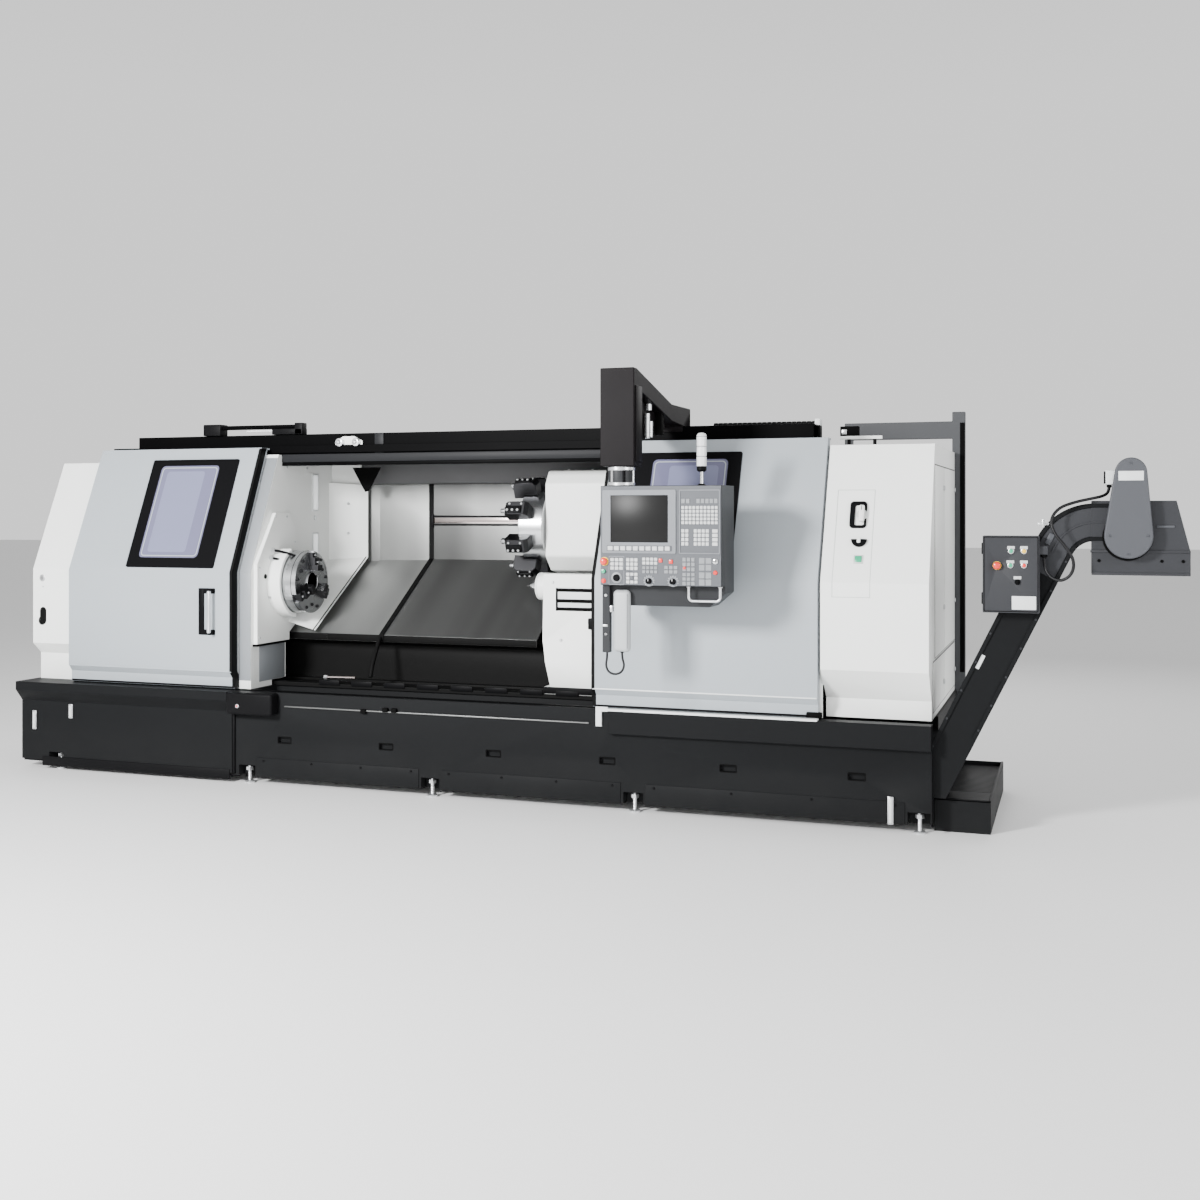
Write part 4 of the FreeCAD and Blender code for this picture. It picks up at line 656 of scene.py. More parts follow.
wall_x = -1.900
chuck_back_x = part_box("chuck_body")[0][0]
lamp_frames = []
for low_z, high_z in ((1.725, 1.985), (1.420, 1.580)):
    lamp_frames.append(
        (block((wall_x - 0.002, 0.165, low_z), (wall_x + 0.006, 0.245, high_z), 0.003), pale_trim_and_painted_highlight))
    lamp_frames.append(
        (block((wall_x, 0.177, low_z + 0.012), (wall_x + 0.008, 0.233, high_z - 0.012), 0.003), lamp_white))
lamp_frames.append(
    (turned("x", (wall_x, 0.205, 1.680), [(0, 0), (0, 0.018), (0.006, 0.016), (0.006, 0.0)]), zinc))
for y, z in ((0.51, 1.80), (0.51, 1.55), (0.49, 1.95), (0.10, 2.02), (-0.15, 2.02)):
    lamp_frames.append((cap_screw("x", (wall_x, y, z), 0.008, 1), zinc))
guard_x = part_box("chuck_guard")[1][0]
lamp_frames.append(
    (
        turned("x", (guard_x, -0.453, 1.303), [(-0.001, 0), (-0.001, 0.016), (0.002, 0.016), (0.002, 0.0)]),
        seam_and_painted_shadow_black))
for y, z in ((-0.52, 0.91), (-0.52, 1.36), (-0.20, 1.69), (-0.33, 1.69), (-0.10, 1.52)):
    lamp_frames.append((cap_screw("x", (guard_x, y, z), 0.007, 1), zinc))
jamb_grey_and_painted_shade = finish("jamb_grey_and_painted_shade", (0.22, 0.235, 0.25), 0.42, grains=1500.0, depth=0.06, gleam=0.3)
# A grey sheet on the white wall below the guard is painted shade, darkening the wall where the guard shades
# it.
lamp_frames.append(
    (block((wall_x - 0.002, -0.480, 0.622), (wall_x + 0.002, -0.180, 0.860), 0.001), jamb_grey_and_painted_shade))
# A black strip along the guard's lower edge is a painted shadow under the guard.
lamp_frames.append(
    (block((wall_x - 0.002, -0.552, 0.856), (guard_x + 0.003, -0.168, 0.869), 0.002), seam_and_painted_shadow_black))
piece("end_wall_fittings", "machine", lamp_frames)

collar_turn = np.radians(np.linspace(112, 262, 40))
collar_ring = np.concatenate([
    np.stack([spindle_y + radius * np.cos(t), spindle_z + radius * np.sin(t)], -1)
    for radius, t in ((0.236, collar_turn), (0.2125, collar_turn[::-1]))])


def rising(along, out):
    """A point in the cross section: along the slope from the covers' lower edge, and out from it."""
    tilt = math.radians(33)
    return (
        -0.150 + along * math.cos(tilt) - out * math.sin(tilt),
        0.918 + along * math.sin(tilt) + out * math.cos(tilt))


break_along = (0.577 + 0.150) / math.cos(math.radians(33))
return_x = -1.690
foot_line = [rising(0.0, 0.026), rising(break_along - 0.018, 0.026), (0.577 - 0.028, 1.915)]
wall_line = [rising(0.02, 0.085), rising(break_along - 0.16, 0.100), (0.577 - 0.185, 1.930)]
low_points = [(wall_x - 0.004, *point) for point in wall_line]
far_points = [(return_x, *point) for point in foot_line]
near_face = np.array(low_points + far_points[::-1])
return_shape = (np.concatenate([near_face, near_face + (0.012, 0.004, -0.004)]),
                [[0, 1, 4, 5], [1, 2, 3, 4], [11, 10, 7, 6], [10, 9, 8, 7],
                 [0, 6, 7, 1], [1, 7, 8, 2], [2, 8, 9, 3], [3, 9, 10, 4], [4, 10, 11, 5], [5, 11, 6, 0]])
seal_points = [
    (return_x, *rising(0.0, 0.026)), (return_x, *rising(break_along - 0.018, 0.026)),
    (return_x, 0.577 - 0.026, 1.915)]
return_parts = [(return_shape, off_white), (hose(np.array(seal_points), 0.004), rubber_black)]
for share_out in (0.30, 0.72):
    screw_z = 1.40 + 0.50 * share_out
    return_parts.append(
        (
            turned(
                "y", (-1.79, 0.468, screw_z + 0.02),
                [(0.02, 0), (0.02, 0.009), (-0.006, 0.009), (-0.010, 0.005), (-0.010, 0)], 20),
            zinc))
corner_plate = plate(
    "y", [(-1.690, 2.030), (-1.470, 2.030), (-1.560, 1.870), (-1.590, 1.860)], 0.350, 0.362, 0.002)
return_parts.append((corner_plate, seam_and_painted_shadow_black))
piece("wall_return", "machine", return_parts)
piece(
    "guard_collar", "machine",
    [(plate("x", collar_ring, guard_x - 0.004, chuck_back_x + 0.055, 0.003), off_white)])

nozzle_parts = []
for y, z, reach in ((-0.375, 1.470, 0.15), (-0.395, 1.420, 0.12), (-0.405, 1.170, 0.11)):
    along = np.linspace(0, 1, 10)
    bend = np.stack(
        [guard_x + reach * along, y + 0.10 * along**2, z - 0.05 * along**2 * np.sign(z - spindle_z)], -1)
    nozzle_parts.append((hose(bend, 0.008), charcoal_trim))
    nozzle_parts.append(
        (
            turned(
                "x", (guard_x, y, z), [(0, 0), (0, 0.016), (0.018, 0.016), (0.022, 0.011), (0.022, 0)], 6),
            zinc))
    nozzle_parts.append(
        (turned("x", tuple(bend[-1]), [(-0.006, 0), (-0.006, 0.011), (0.014, 0.007), (0.014, 0)], 20), zinc)
    )
piece("coolant_nozzles", "machine", nozzle_parts)

# ======================================================================== headstock, spindle and chuck
# A cast headstock behind the wall, and the three-jaw chuck on the spindle's nose: a ground steel body
# with a stepped face, nine cap screws and hardened jaws that are stepped and serrated.

casting_grey = finish("casting_paint", (0.12, 0.125, 0.13), 0.5, grains=420.0, depth=0.35, mottle=0.1)
ground = finish("ground_steel", (0.56, 0.57, 0.58), 0.27, metallic=1.0, grains=260.0, depth=0.05, mottle=0.08)
hardened = finish(
    "hardened_steel", (0.05, 0.05, 0.053), 0.36, metallic=1.0, grains=400.0, depth=0.08, mottle=0.15)
bright = finish("polished_steel", (0.78, 0.79, 0.80), 0.14, metallic=1.0, grains=200.0, depth=0.02)
dressed("headstock_casting", casting_grey, 0.006)
for node, material in (
    ("spindle_bearings", ground), ("spindle_shaft", ground), ("spindle_pulley", casting_grey),
    ("motor_pulley", casting_grey), ("drive_belt", rubber_black)):
    dressed(node, material, 0.0015)
dressed("spindle_motor", charcoal_trim, 0.003)

dressed("chuck_body", ground, 0.004)
chuck_low, chuck_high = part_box("chuck_body")
face_x = chuck_high[0]
chuck_parts = []
ring = turned(
    "x", spindle_line,
    [
        (face_x - 0.001, 0.0605), (face_x + 0.006, 0.0605), (face_x + 0.008, 0.062),
        (face_x + 0.008, 0.065), (face_x + 0.006, 0.0665), (face_x - 0.001, 0.0665)],
    48)
chuck_parts.append((ring, bright))
for number in range(3):
    for tilt, reach in ((60, 0.150), (38, 0.178), (82, 0.178)):
        screw = cap_screw("x", (face_x, spindle_y, spindle_z + reach), 0.011, 1)
        chuck_parts.append((spun(screw, "x", 120 * number + tilt, spindle_line), hardened))
    key = turned(
        "z", (face_x - 0.075, spindle_y, spindle_z + 0.2035),
        [(-0.002, 0), (-0.002, 0.017), (0.001, 0.017), (0.001, 0.009), (-0.008, 0.009), (-0.008, 0)], 24)
    chuck_parts.append((spun(key, "x", 120 * number + 60, spindle_line), hardened))
band_radius = 0.2056
for step_x in (chuck_low[0] + 0.035, chuck_low[0] + 0.115):
    band = turned(
        "x", spindle_line,
        [(step_x, 0.200), (step_x, band_radius), (step_x + 0.004, band_radius), (step_x + 0.004, 0.200)], 64
    )
    chuck_parts.append((band, seam_and_painted_shadow_black))
piece("chuck_details", "spindle", chuck_parts)
for number in range(3):
    dressed(f"chuck_jaw_{number + 1}", hardened, 0.0025)
    teeth = [
        (
            block(
                (face_x + 0.012 + 0.008 * row, -0.228, spindle_z + 0.0715),
                (face_x + 0.016 + 0.008 * row, -0.172, spindle_z + 0.0755), 0.001),
            ground)
        for row in range(6)]
    screws = [(cap_screw("x", (face_x + rise, spindle_y, spindle_z + reach), 0.010, 1), ground)
              for rise, reach in ((0.025, 0.176), (0.043, 0.130))]
    turned_parts = [
        (spun(shape, "x", 120 * number, spindle_line), material) for shape, material in teeth + screws]
    piece(f"jaw_{number + 1}_teeth", f"jaw_{number + 1}", turned_parts)

# ======================================================================== steel way covers
# Telescopic covers of brushed stainless sheet over the slant bed: a fixed one by the headstock, a middle
# one, and those that travel with the carriage. A black rubber wiper or lip edges each sheet.

steel_cover = finish(
    "stainless_cover", (0.30, 0.305, 0.30), 0.42, metallic=0.75, lines=(2.0, 900.0, 900.0), depth=0.04,
    mottle=0.45)
oiled_cover = finish(
    "oiled_stainless_cover", (0.135, 0.137, 0.135), 0.40, metallic=0.8, lines=(2.0, 900.0, 900.0),
    depth=0.04, mottle=0.5)
for node, sheet in (
    ("fixed_way_cover", steel_cover), ("middle_way_cover", steel_cover), ("moving_way_covers", oiled_cover)
):
    dressed(node, sheet, 0.0012)

slope = math.radians(33)
edge_y, edge_z, break_y, cover_top = -0.150, 0.918, 0.577, 1.916
break_z = edge_z + (break_y - edge_y) * math.tan(slope)


def wiper(x, width, rise, thick):
    """A strip that follows a cover's slope and upright: its section offset outwards by rise and thick."""
    def line(out):
        corner_y = break_y - out
        corner_z = break_z + out / math.cos(slope) - out * math.tan(slope)
        return [
            (edge_y - out, edge_z - 0.03),
            (edge_y - out, edge_z + out * (1 / math.cos(slope) - math.tan(slope))), (corner_y, corner_z),
            (corner_y, cover_top)]
    section = line(rise) + line(rise + thick)[::-1]
    return plate("x", section, x, x + width, 0.0012)


moving_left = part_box("moving_way_covers")[0][0]
piece(
    "moving_cover_wiper", "carriage",
    [
        (wiper(moving_left - 0.006, 0.034, 0.0005, 0.006), rubber_black),
        (
            hose(
                [
                    (moving_left + 0.006, -0.162, 0.905), (moving_left + 0.006, -0.215, 0.820),
                    (moving_left + 0.006, -0.262, 0.740), (moving_left + 0.006, -0.292, 0.660)],
                0.014),
            rubber_black),])

for node, body, spans in (
    ("fixed_way_cover", "machine", [(0, 1)]), ("middle_way_cover", "middle_cover", [(0, 1)]),
    ("moving_way_covers", "carriage", [(0, 0.4), (0.709, 1)])):
    low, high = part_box(node)
    strips = []
    for start, end in spans:
        x0, x1 = low[0] + (high[0] - low[0]) * start, low[0] + (high[0] - low[0]) * end
        strips.append(
            (
                block(
                    (x0 + 0.001, low[1] - 0.0004, low[2] + 0.001),
                    (x1 - 0.001, low[1] + 0.0002, low[2] + 0.044), 0.0002),
                rubber_black))
    piece(node + "_lip", body, strips)

guide_x = np.linspace(moving_left + 0.02, -0.10, 8)
rods = [
    (hose(np.stack([guide_x, 0 * guide_x + break_y - 0.007, 0 * guide_x + z], -1), 0.006), charcoal_trim)
    for z in (1.632, 1.690)]
strip = block((moving_left + 0.02, break_y - 0.004, 1.642), (-0.10, break_y + 0.001, 1.680), 0.001)
end_plate = block((moving_left + 0.012, break_y - 0.014, 1.612), (moving_left + 0.030, break_y, 1.708), 0.002)
piece("cover_link_rods", "carriage", rods + [(strip, pink_steel), (end_plate, charcoal_trim)])
dressed("saddle", charcoal_trim, 0.003)

# ======================================================================== turret
# An eight-station tool turret: a painted housing on the cross slide, a ground disc with a polished hub
# and, at each station, a blackened tool block with its clamp, screws and a turning or boring tool.

dressed("turret_housing", off_white, 0.012)
dressed("turret_disc", ground, 0.004)
disc_low, disc_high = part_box("turret_disc")
hub = np.array([0.0, (disc_low[1] + disc_high[1]) / 2, (disc_low[2] + disc_high[2]) / 2])
hub_x = disc_low[0]
hub_parts = [
    (
        turned(
            "x", hub,
            [
                (hub_x - 0.012, 0.0), (hub_x - 0.012, 0.060), (hub_x - 0.006, 0.072),
                (hub_x - 0.002, 0.100), (hub_x + 0.006, 0.124), (hub_x + 0.030, 0.1305),
                (hub_x + 0.030, 0.0)],
            64),
        bright),
    (
        turned(
            "x", hub,
            [(hub_x - 0.018, 0.0), (hub_x - 0.018, 0.018), (hub_x - 0.010, 0.030), (hub_x - 0.010, 0.0)], 32
        ),
        seam_and_painted_shadow_black)]
for number in range(8):
    hub_parts.append(
        (spun(cap_screw("x", hub + (hub_x - 0.002, 0, 0.092), 0.010), "x", 45 * number, hub), hardened))
    hub_parts.append(
        (spun(cap_screw("x", hub + (hub_x + 0.040, 0, 0.195), 0.012), "x", 45 * number, hub), hardened))
    pocket = block(hub + (hub_x + 0.036, -0.040, 0.140), hub + (hub_x + 0.043, 0.040, 0.225), 0.003)
    hub_parts.append((spun(pocket, "x", 45 * number + 22.5, hub), hardened))
piece("turret_hub", "turret", hub_parts)

tool_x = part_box("tool_blocks")[0][0]
for number in range(8):
    holder = plate(
        "y",
        [
            (tool_x + 0.070, 0.215), (tool_x + 0.140, 0.215), (tool_x + 0.140, 0.236),
            (tool_x + 0.228, 0.236), (tool_x + 0.228, 0.300), (tool_x + 0.205, 0.322),
            (tool_x + 0.092, 0.322), (tool_x + 0.070, 0.300)],
        -0.044, 0.044, 0.004)
    clamp = block((tool_x + 0.085, -0.036, 0.318), (tool_x + 0.190, 0.010, 0.334), 0.004)
    shank = block((tool_x + 0.040, 0.004, 0.262), (tool_x + 0.150, 0.034, 0.292), 0.002)
    insert = turned(
        "x", (tool_x + 0.042, 0.028, 0.292), [(-0.003, 0), (-0.003, 0.008), (0.004, 0.007), (0.004, 0)], 4)
    boring = turned(
        "x", (tool_x, 0, 0.270),
        [
            (0.030, 0.0), (0.030, 0.012), (0.034, 0.014), (0.060, 0.014), (0.060, 0.026), (0.070, 0.030),
            (0.100, 0.030), (0.100, 0)],
        28)
    grip = (boring, ground) if number % 2 else (shank, ground)
    bolts = merged([cap_screw("z", (tool_x + dx, -0.020, 0.334), 0.008, 1) for dx in (0.100, 0.135, 0.170)]
                   + [cap_screw("z", (tool_x + dx, 0.026, 0.322), 0.007, 1) for dx in (0.105, 0.185)])
    parts = [(holder, hardened), (clamp, charcoal_trim), grip, (bolts, zinc)]
    if not number % 2:
        parts.append((insert, bright))
    placed = [
        (((spun(shape, "x", 45 * number + 22.5)[0]) + hub, shape[1]), material) for shape, material in parts
    ]
    piece(f"tool_holder_{number + 1}", "turret", placed, ["tool_blocks"] if number == 0 else ())

low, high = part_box("turret_housing")
side = low[0]
housing_parts = [
    (
        block(
            (low[0] + 0.05, low[1] + 0.20, high[2] - 0.001),
            (high[0] - 0.05, high[1] - 0.04, high[2] + 0.006), 0.003),
        off_white)]
for x in np.linspace(low[0] + 0.08, high[0] - 0.08, 4):
    for y in (low[1] + 0.22, high[1] - 0.06):
        housing_parts.append((cap_screw("z", (x, y, high[2] + 0.006), 0.008, 1), zinc))
piece("turret_housing_lid", "cross_slide", housing_parts)

# ======================================================================== tailstock
# A painted casting with a round sleeve for the quill, a front panel with dark bars, and a black wiper
# and a slide plate at its foot. The quill and the live centre are ground bright.

dressed("tailstock_casting", off_white, 0.007)
dressed("quill", bright, 0.002)
tail_parts = [
    (block((0.080, -0.2925, 1.110), (0.430, -0.2835, 1.262), 0.004), pale_trim_and_painted_highlight),
    (block((0.018, -0.324, 0.612), (0.552, -0.318, 0.654), 0.002), charcoal_trim),
    (block((0.010, -0.3225, 0.600), (0.022, -0.010, 0.660), 0.003), rubber_black),
    (block((0.300, -0.318, 1.010), (0.372, -0.292, 1.078), 0.006), charcoal_trim),
    (
        turned(
            "x", spindle_line,
            [
                (-0.060, 0.058), (-0.063, 0.061), (-0.063, 0.074), (-0.057, 0.082), (-0.050, 0.0845),
                (-0.045, 0.0845), (-0.045, 0.058)],
            56),
        pale_trim_and_painted_highlight),]
for z in (1.128, 1.178, 1.244):
    tail_parts.append((block((0.096, -0.2945, z - 0.011), (0.420, -0.291, z + 0.011), 0.002), seam_and_painted_shadow_black))
# The dark strip down the front panel's left side is painted shade, standing for the shaded left wall of its
# recess.
tail_parts.append((block((0.084, -0.2945, 1.116), (0.098, -0.291, 1.256), 0.002), seam_and_painted_shadow_black))
for x, z in ((0.062, 1.29), (0.062, 1.09), (0.50, 1.29), (0.50, 1.09), (0.12, 0.94), (0.48, 0.94)):
    face = -0.285 if z > 1.0 else -0.300
    tail_parts.append((cap_screw("y", (x, face, z), 0.009), zinc))
piece("tailstock_details", "tailstock", tail_parts)

low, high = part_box("live_centre")
tip = low[0]
piece(
    "live_centre_point", "centre",
    [
        (
            turned(
                "x", spindle_line,
                [
                    (tip, 0.0), (tip + 0.048, 0.026), (tip + 0.052, 0.026), (tip + 0.053, 0.029),
                    (tip + 0.058, 0.032), (tip + 0.082, 0.032), (tip + 0.085, 0.030), (tip + 0.085, 0.0195),
                    (tip + 0.200, 0.0195), (tip + 0.200, 0.0)],
                48),
            bright),
        (
            turned(
                "x", spindle_line,
                [(tip + 0.066, 0.031), (tip + 0.066, 0.0323), (tip + 0.070, 0.0323), (tip + 0.070, 0.031)],
                48),
            seam_and_painted_shadow_black),],
    ["live_centre"])

# ======================================================================== sliding doors
# Two folded doors in blue-grey paint that hang on the lintel's rail. Each has a tinted window in a black
# frame on its leaning upper half and a black rubber seal up its closing edge.

door_blue = finish(
    "door_blue_grey", (0.33, 0.36, 0.385), 0.38, grains=1500.0, depth=0.06, mottle=0.02, gleam=0.3)
window_tint = finish("window_tint", (0.19, 0.20, 0.31), 0.10, coat=0.5, clear=0.1, mottle=0.05)
# A darker lavender for a band on the window pane: painted shade of the door's inner frame seen through the
# glass.
window_frame_painted_shade = finish("window_frame_painted_shade", (0.13, 0.13, 0.21), 0.12, coat=0.4)
frame_black = finish("window_frame_black", (0.0025, 0.0025, 0.003), 0.5, gleam=0.06)
door_front, door_break = -0.650, 1.335
lean = math.atan(340 / 810)
for node in ("left_door_panel", "right_door_panel"):
    dressed(node, door_blue, 0.004)


def leaned(shape, face=door_front):
    """A shape drawn upright on a front, laid back about the fold at which the front starts to lean."""
    return spun(shape, "x", -math.degrees(lean), (0, face, door_break))


def rounded_pane(low, high, start, end, radius, steps=6):
    """A pane with rounded corners in the XZ plane."""
    t = (np.arange(4)[:, None] * math.pi / 2 + np.linspace(0, math.pi / 2, steps)).ravel()
    cx = np.repeat([high[0] - radius, low[0] + radius, low[0] + radius, high[0] - radius], steps)
    cz = np.repeat([high[1] - radius, high[1] - radius, low[1] + radius, low[1] + radius], steps)
    outline = np.stack([cx + radius * np.cos(t), cz + radius * np.sin(t)], -1)
    return plate("y", outline, start, end, 0.001)


for side_name, closing_side in (("left", 1), ("right", -1)):
    low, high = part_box(f"{side_name}_window")
    foot = door_break + (low[2] - door_break) / math.cos(lean)
    top = door_break + (high[2] - door_break) / math.cos(lean)
    wide, narrow = 0.140, 0.078
    borders = (narrow, wide, 0.068, 0.044) if closing_side > 0 else (wide, narrow, 0.068, 0.044)
    frame_shape = ring_plate(
        (low[0], foot), (high[0], top), borders, door_front - 0.0078, door_front + 0.002, (0.012, 0.030))
    glass_low = (low[0] + borders[0], foot + borders[2])
    glass_high = (high[0] - borders[1], top - borders[3])
    # A darker band on the pane, widest on the closing side, stands for the door's inner frame seen through
    # the glass in shade. It is painted shade.
    painted_shade_band = ring_plate(
        glass_low, glass_high,
        (0.055, 0.105, 0.040, 0.040) if closing_side > 0 else (0.105, 0.055, 0.040, 0.040),
        door_front - 0.0040, door_front - 0.0022, (0.030, 0.022))
    inner_line = ring_plate(
        (glass_low[0] + 0.012, glass_low[1] + 0.012), (glass_high[0] - 0.012, glass_high[1] - 0.012),
        (0.006,) * 4, door_front - 0.0045, door_front - 0.0025, (0.026, 0.020))
    pane = rounded_pane(glass_low, glass_high, door_front - 0.0035, door_front + 0.0010, 0.030)
    piece(
        f"{side_name}_window_glazing", f"{side_name}_door",
        [
            (leaned(frame_shape), frame_black), (leaned(pane), window_tint),
            (leaned(painted_shade_band), window_frame_painted_shade), (leaned(inner_line), door_blue)],
        [f"{side_name}_window"])

    door_low, door_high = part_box(f"{side_name}_door_panel")
    edge_x = door_high[0] if closing_side > 0 else door_low[0]
    seal_line = [(-0.622, 0.594), (-0.622, 0.662), (-0.652, 0.702), (-0.652, 1.335), (-0.314, 2.143)]
    inner_line = [(y + 0.060, z) for y, z in seal_line][::-1]
    start, end = sorted((edge_x - closing_side * 0.001, edge_x + closing_side * 0.002))
    lip = [(-0.6205, 0.596), (-0.6205, 0.660), (-0.6515, 0.701), (-0.6515, 1.335), (-0.3135, 2.140)]
    lip_back = [(y + 0.004, z) for y, z in lip][::-1]
    lip_start, lip_end = sorted((edge_x - closing_side * 0.018, edge_x + closing_side * 0.001))
    fold_low, fold_high = door_low[0] + 0.004, door_high[0] - 0.004
    piece(
        f"{side_name}_door_seal", f"{side_name}_door",
        [
            (plate("x", seal_line + inner_line, start, end, 0.0005), rubber_black),
            (plate("x", lip + lip_back, lip_start, lip_end, 0.001), rubber_black),
            # On the right door the strip along the lower fold is pale, a painted highlight where the fold
            # catches the light. On the left door it takes the doors' own paint.
            (
                block((fold_low, -0.6515, 0.6965), (fold_high, -0.6470, 0.7045), 0.0015),
                pale_trim_and_painted_highlight if side_name == "right" else door_blue),
            (block((fold_low, -0.6225, 0.594), (fold_high, -0.6195, 0.606), 0.001), charcoal_trim)])

# The chuck wall's front flange beside the left door's seal is drawn in a grey darker than the doors' paint.
# The extra darkness is painted shade on a real flange.
piece(
    "door_jamb", "machine",
    [
        (block((-1.990, -0.5745, 0.640), (-1.901, -0.5712, door_break), 0.001), jamb_grey_and_painted_shade),
        (leaned(block((-1.990, -0.5745, door_break), (-1.901, -0.5712, 2.140), 0.001), -0.572), jamb_grey_and_painted_shade)])

satin_aluminium = finish(
    "satin_aluminium", (0.80, 0.81, 0.83), 0.28, metallic=0.85, lines=(900.0, 900.0, 3.0), depth=0.03)
low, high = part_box("left_door_handle")
piece(
    "door_grip", "left_door",
    [
        (
            block((low[0], low[1], low[2] + 0.012), (high[0], low[1] + 0.022, high[2] - 0.012), 0.008, 4),
            satin_aluminium),
        (
            block(
                (low[0] + 0.002, low[1] + 0.010, low[2]),
                (high[0] - 0.002, door_front + 0.001, low[2] + 0.024), 0.006, 3),
            frame_black),
        (
            block(
                (low[0] + 0.002, low[1] + 0.010, high[2] - 0.024),
                (high[0] - 0.002, door_front + 0.001, high[2]), 0.006, 3),
            frame_black),
        (
            block(
                (low[0] - 0.095, door_front - 0.010, low[2] - 0.002),
                (low[0] - 0.055, door_front + 0.001, high[2] + 0.002), 0.004),
            frame_black),
        (
            block(
                (low[0] - 0.095, door_front - 0.009, low[2] - 0.002),
                (high[0] + 0.004, door_front + 0.001, low[2] + 0.032), 0.004),
            frame_black),
        (
            block(
                (low[0] - 0.095, door_front - 0.009, high[2] - 0.032),
                (high[0] + 0.004, door_front + 0.001, high[2] + 0.002), 0.004),
            frame_black),],
    ["left_door_handle"])

# ======================================================================== lintel, rail and roof gear
# A black box beam over the opening carries the doors' rail, a bracket with two rollers and the door
# cylinder. A cable chain lies on a duct behind it.

lintel_black = finish(
    "lintel_black", (0.0016, 0.0016, 0.0018), 0.42, grains=1500.0, depth=0.06, mottle=0.3, gleam=0.02)
rail_grey = finish("rail_grey", (0.015, 0.0155, 0.017), 0.42, grains=1200.0, depth=0.06, gleam=0.08)
dressed("lintel_beam", lintel_black, 0.004)
dressed("door_rails", lintel_black, 0.002)
beam_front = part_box("lintel_beam")[0][1]
roof_parts = [
    (block((-3.00, beam_front - 0.022, 2.050), (1.64, beam_front - 0.001, 2.102), 0.003), rail_grey),
    (block((-1.90, beam_front - 0.020, 2.026), (0.49, beam_front + 0.004, 2.050), 0.002), lintel_black),
    (block((-2.512, beam_front - 0.03, 2.235), (-2.376, beam_front + 0.06, 2.312), 0.006), charcoal_trim),
    (block((-1.980, beam_front - 0.02, 2.236), (-1.750, beam_front + 0.05, 2.275), 0.005), charcoal_trim),
    (block((-1.215, beam_front - 0.007, 2.105), (-1.150, beam_front + 0.001, 2.232), 0.002), rail_grey),
]
cylinder_x = np.linspace(-2.40, -1.79, 6)
roof_parts.append(
    (
        hose(np.stack([cylinder_x, 0 * cylinder_x + beam_front + 0.01, 0 * cylinder_x + 2.288], -1), 0.015),
        lintel_black))
roof_parts.append(
    (
        hose(
            np.stack(
                [
                    cylinder_x[2:] - 0.02, 0 * cylinder_x[2:] + beam_front - 0.012,
                    0 * cylinder_x[2:] + 2.262],
                -1),
            0.006),
        pale_trim_and_painted_highlight))
roof_parts.append(
    (block((-1.806, beam_front - 0.02, 2.236), (-1.746, beam_front + 0.04, 2.312), 0.005), charcoal_trim))
ceiling_grey = finish("ceiling_grey", (0.105, 0.105, 0.108), 0.45, grains=900.0, mottle=0.3, gleam=0.2)
roof_parts.append((block((-1.895, 0.586, 1.918), (0.500, 0.592, 2.094), 0.002), ceiling_grey))
roof_parts.append((block((-1.895, beam_front + 0.005, 2.088), (0.500, 0.585, 2.095), 0.002), ceiling_grey))
piece("roof_gear", "machine", roof_parts)

roller_parts = []
for x in (-1.46, -1.34):
    wheel = turned(
        "y", (x, beam_front - 0.028, 2.176),
        [(-0.012, 0.0), (-0.012, 0.020), (-0.009, 0.026), (0.009, 0.026), (0.012, 0.020), (0.012, 0.0)], 32)
    roller_parts += [(wheel, satin_aluminium), (cap_screw("y", (x, beam_front - 0.040, 2.176), 0.009), zinc)]
roller_parts.append(
    (
        plate(
            "y",
            [
                (-1.50, 2.150), (-1.30, 2.150), (-1.30, 2.184), (-1.36, 2.215), (-1.44, 2.215),
                (-1.50, 2.184)],
            beam_front - 0.016, beam_front - 0.008),
        off_white))
piece("door_roller_bracket", "machine", roller_parts)

link_parts = []
link_start, link_end, link_pitch = 1.00, 1.62, 0.030
for x in np.arange(link_start, link_end, link_pitch):
    link = plate(
        "y",
        [
            (x, 2.237), (x + 0.026, 2.237), (x + 0.029, 2.248), (x + 0.024, 2.262), (x + 0.003, 2.262),
            (x - 0.002, 2.248)],
        0.005, 0.075, 0.002)
    link_parts.append((link, frame_black))
link_parts.append((block((link_end, 0.000, 2.236), (link_end + 0.030, 0.080, 2.275), 0.003), pale_trim_and_painted_highlight))
link_parts.append(
    (block((link_start - 0.02, 0.000, 2.101), (link_end + 0.030, 0.080, 2.236), 0.003), lintel_black))
piece("cable_chain", "machine", link_parts)

# ======================================================================== right-hand cabinet
# The tail end's cover, with a framed switch panel on its leaning front: the main breaker's handle, a
# half-round hand switch and a green lamp button. Service doors with knobs are fixed on its side.

signal_green = finish("signal_green", (0.01, 0.33, 0.17), 0.28, coat=0.5, glow=0.15)
pearl_grey = finish("pearl_grey", (0.55, 0.57, 0.56), 0.4, grains=900.0, depth=0.05)


def slope_height(z):
    """The distance up the leaning front, counted from the fold's own height, of a point at height z."""
    return door_break + (z - door_break) / math.cos(lean)


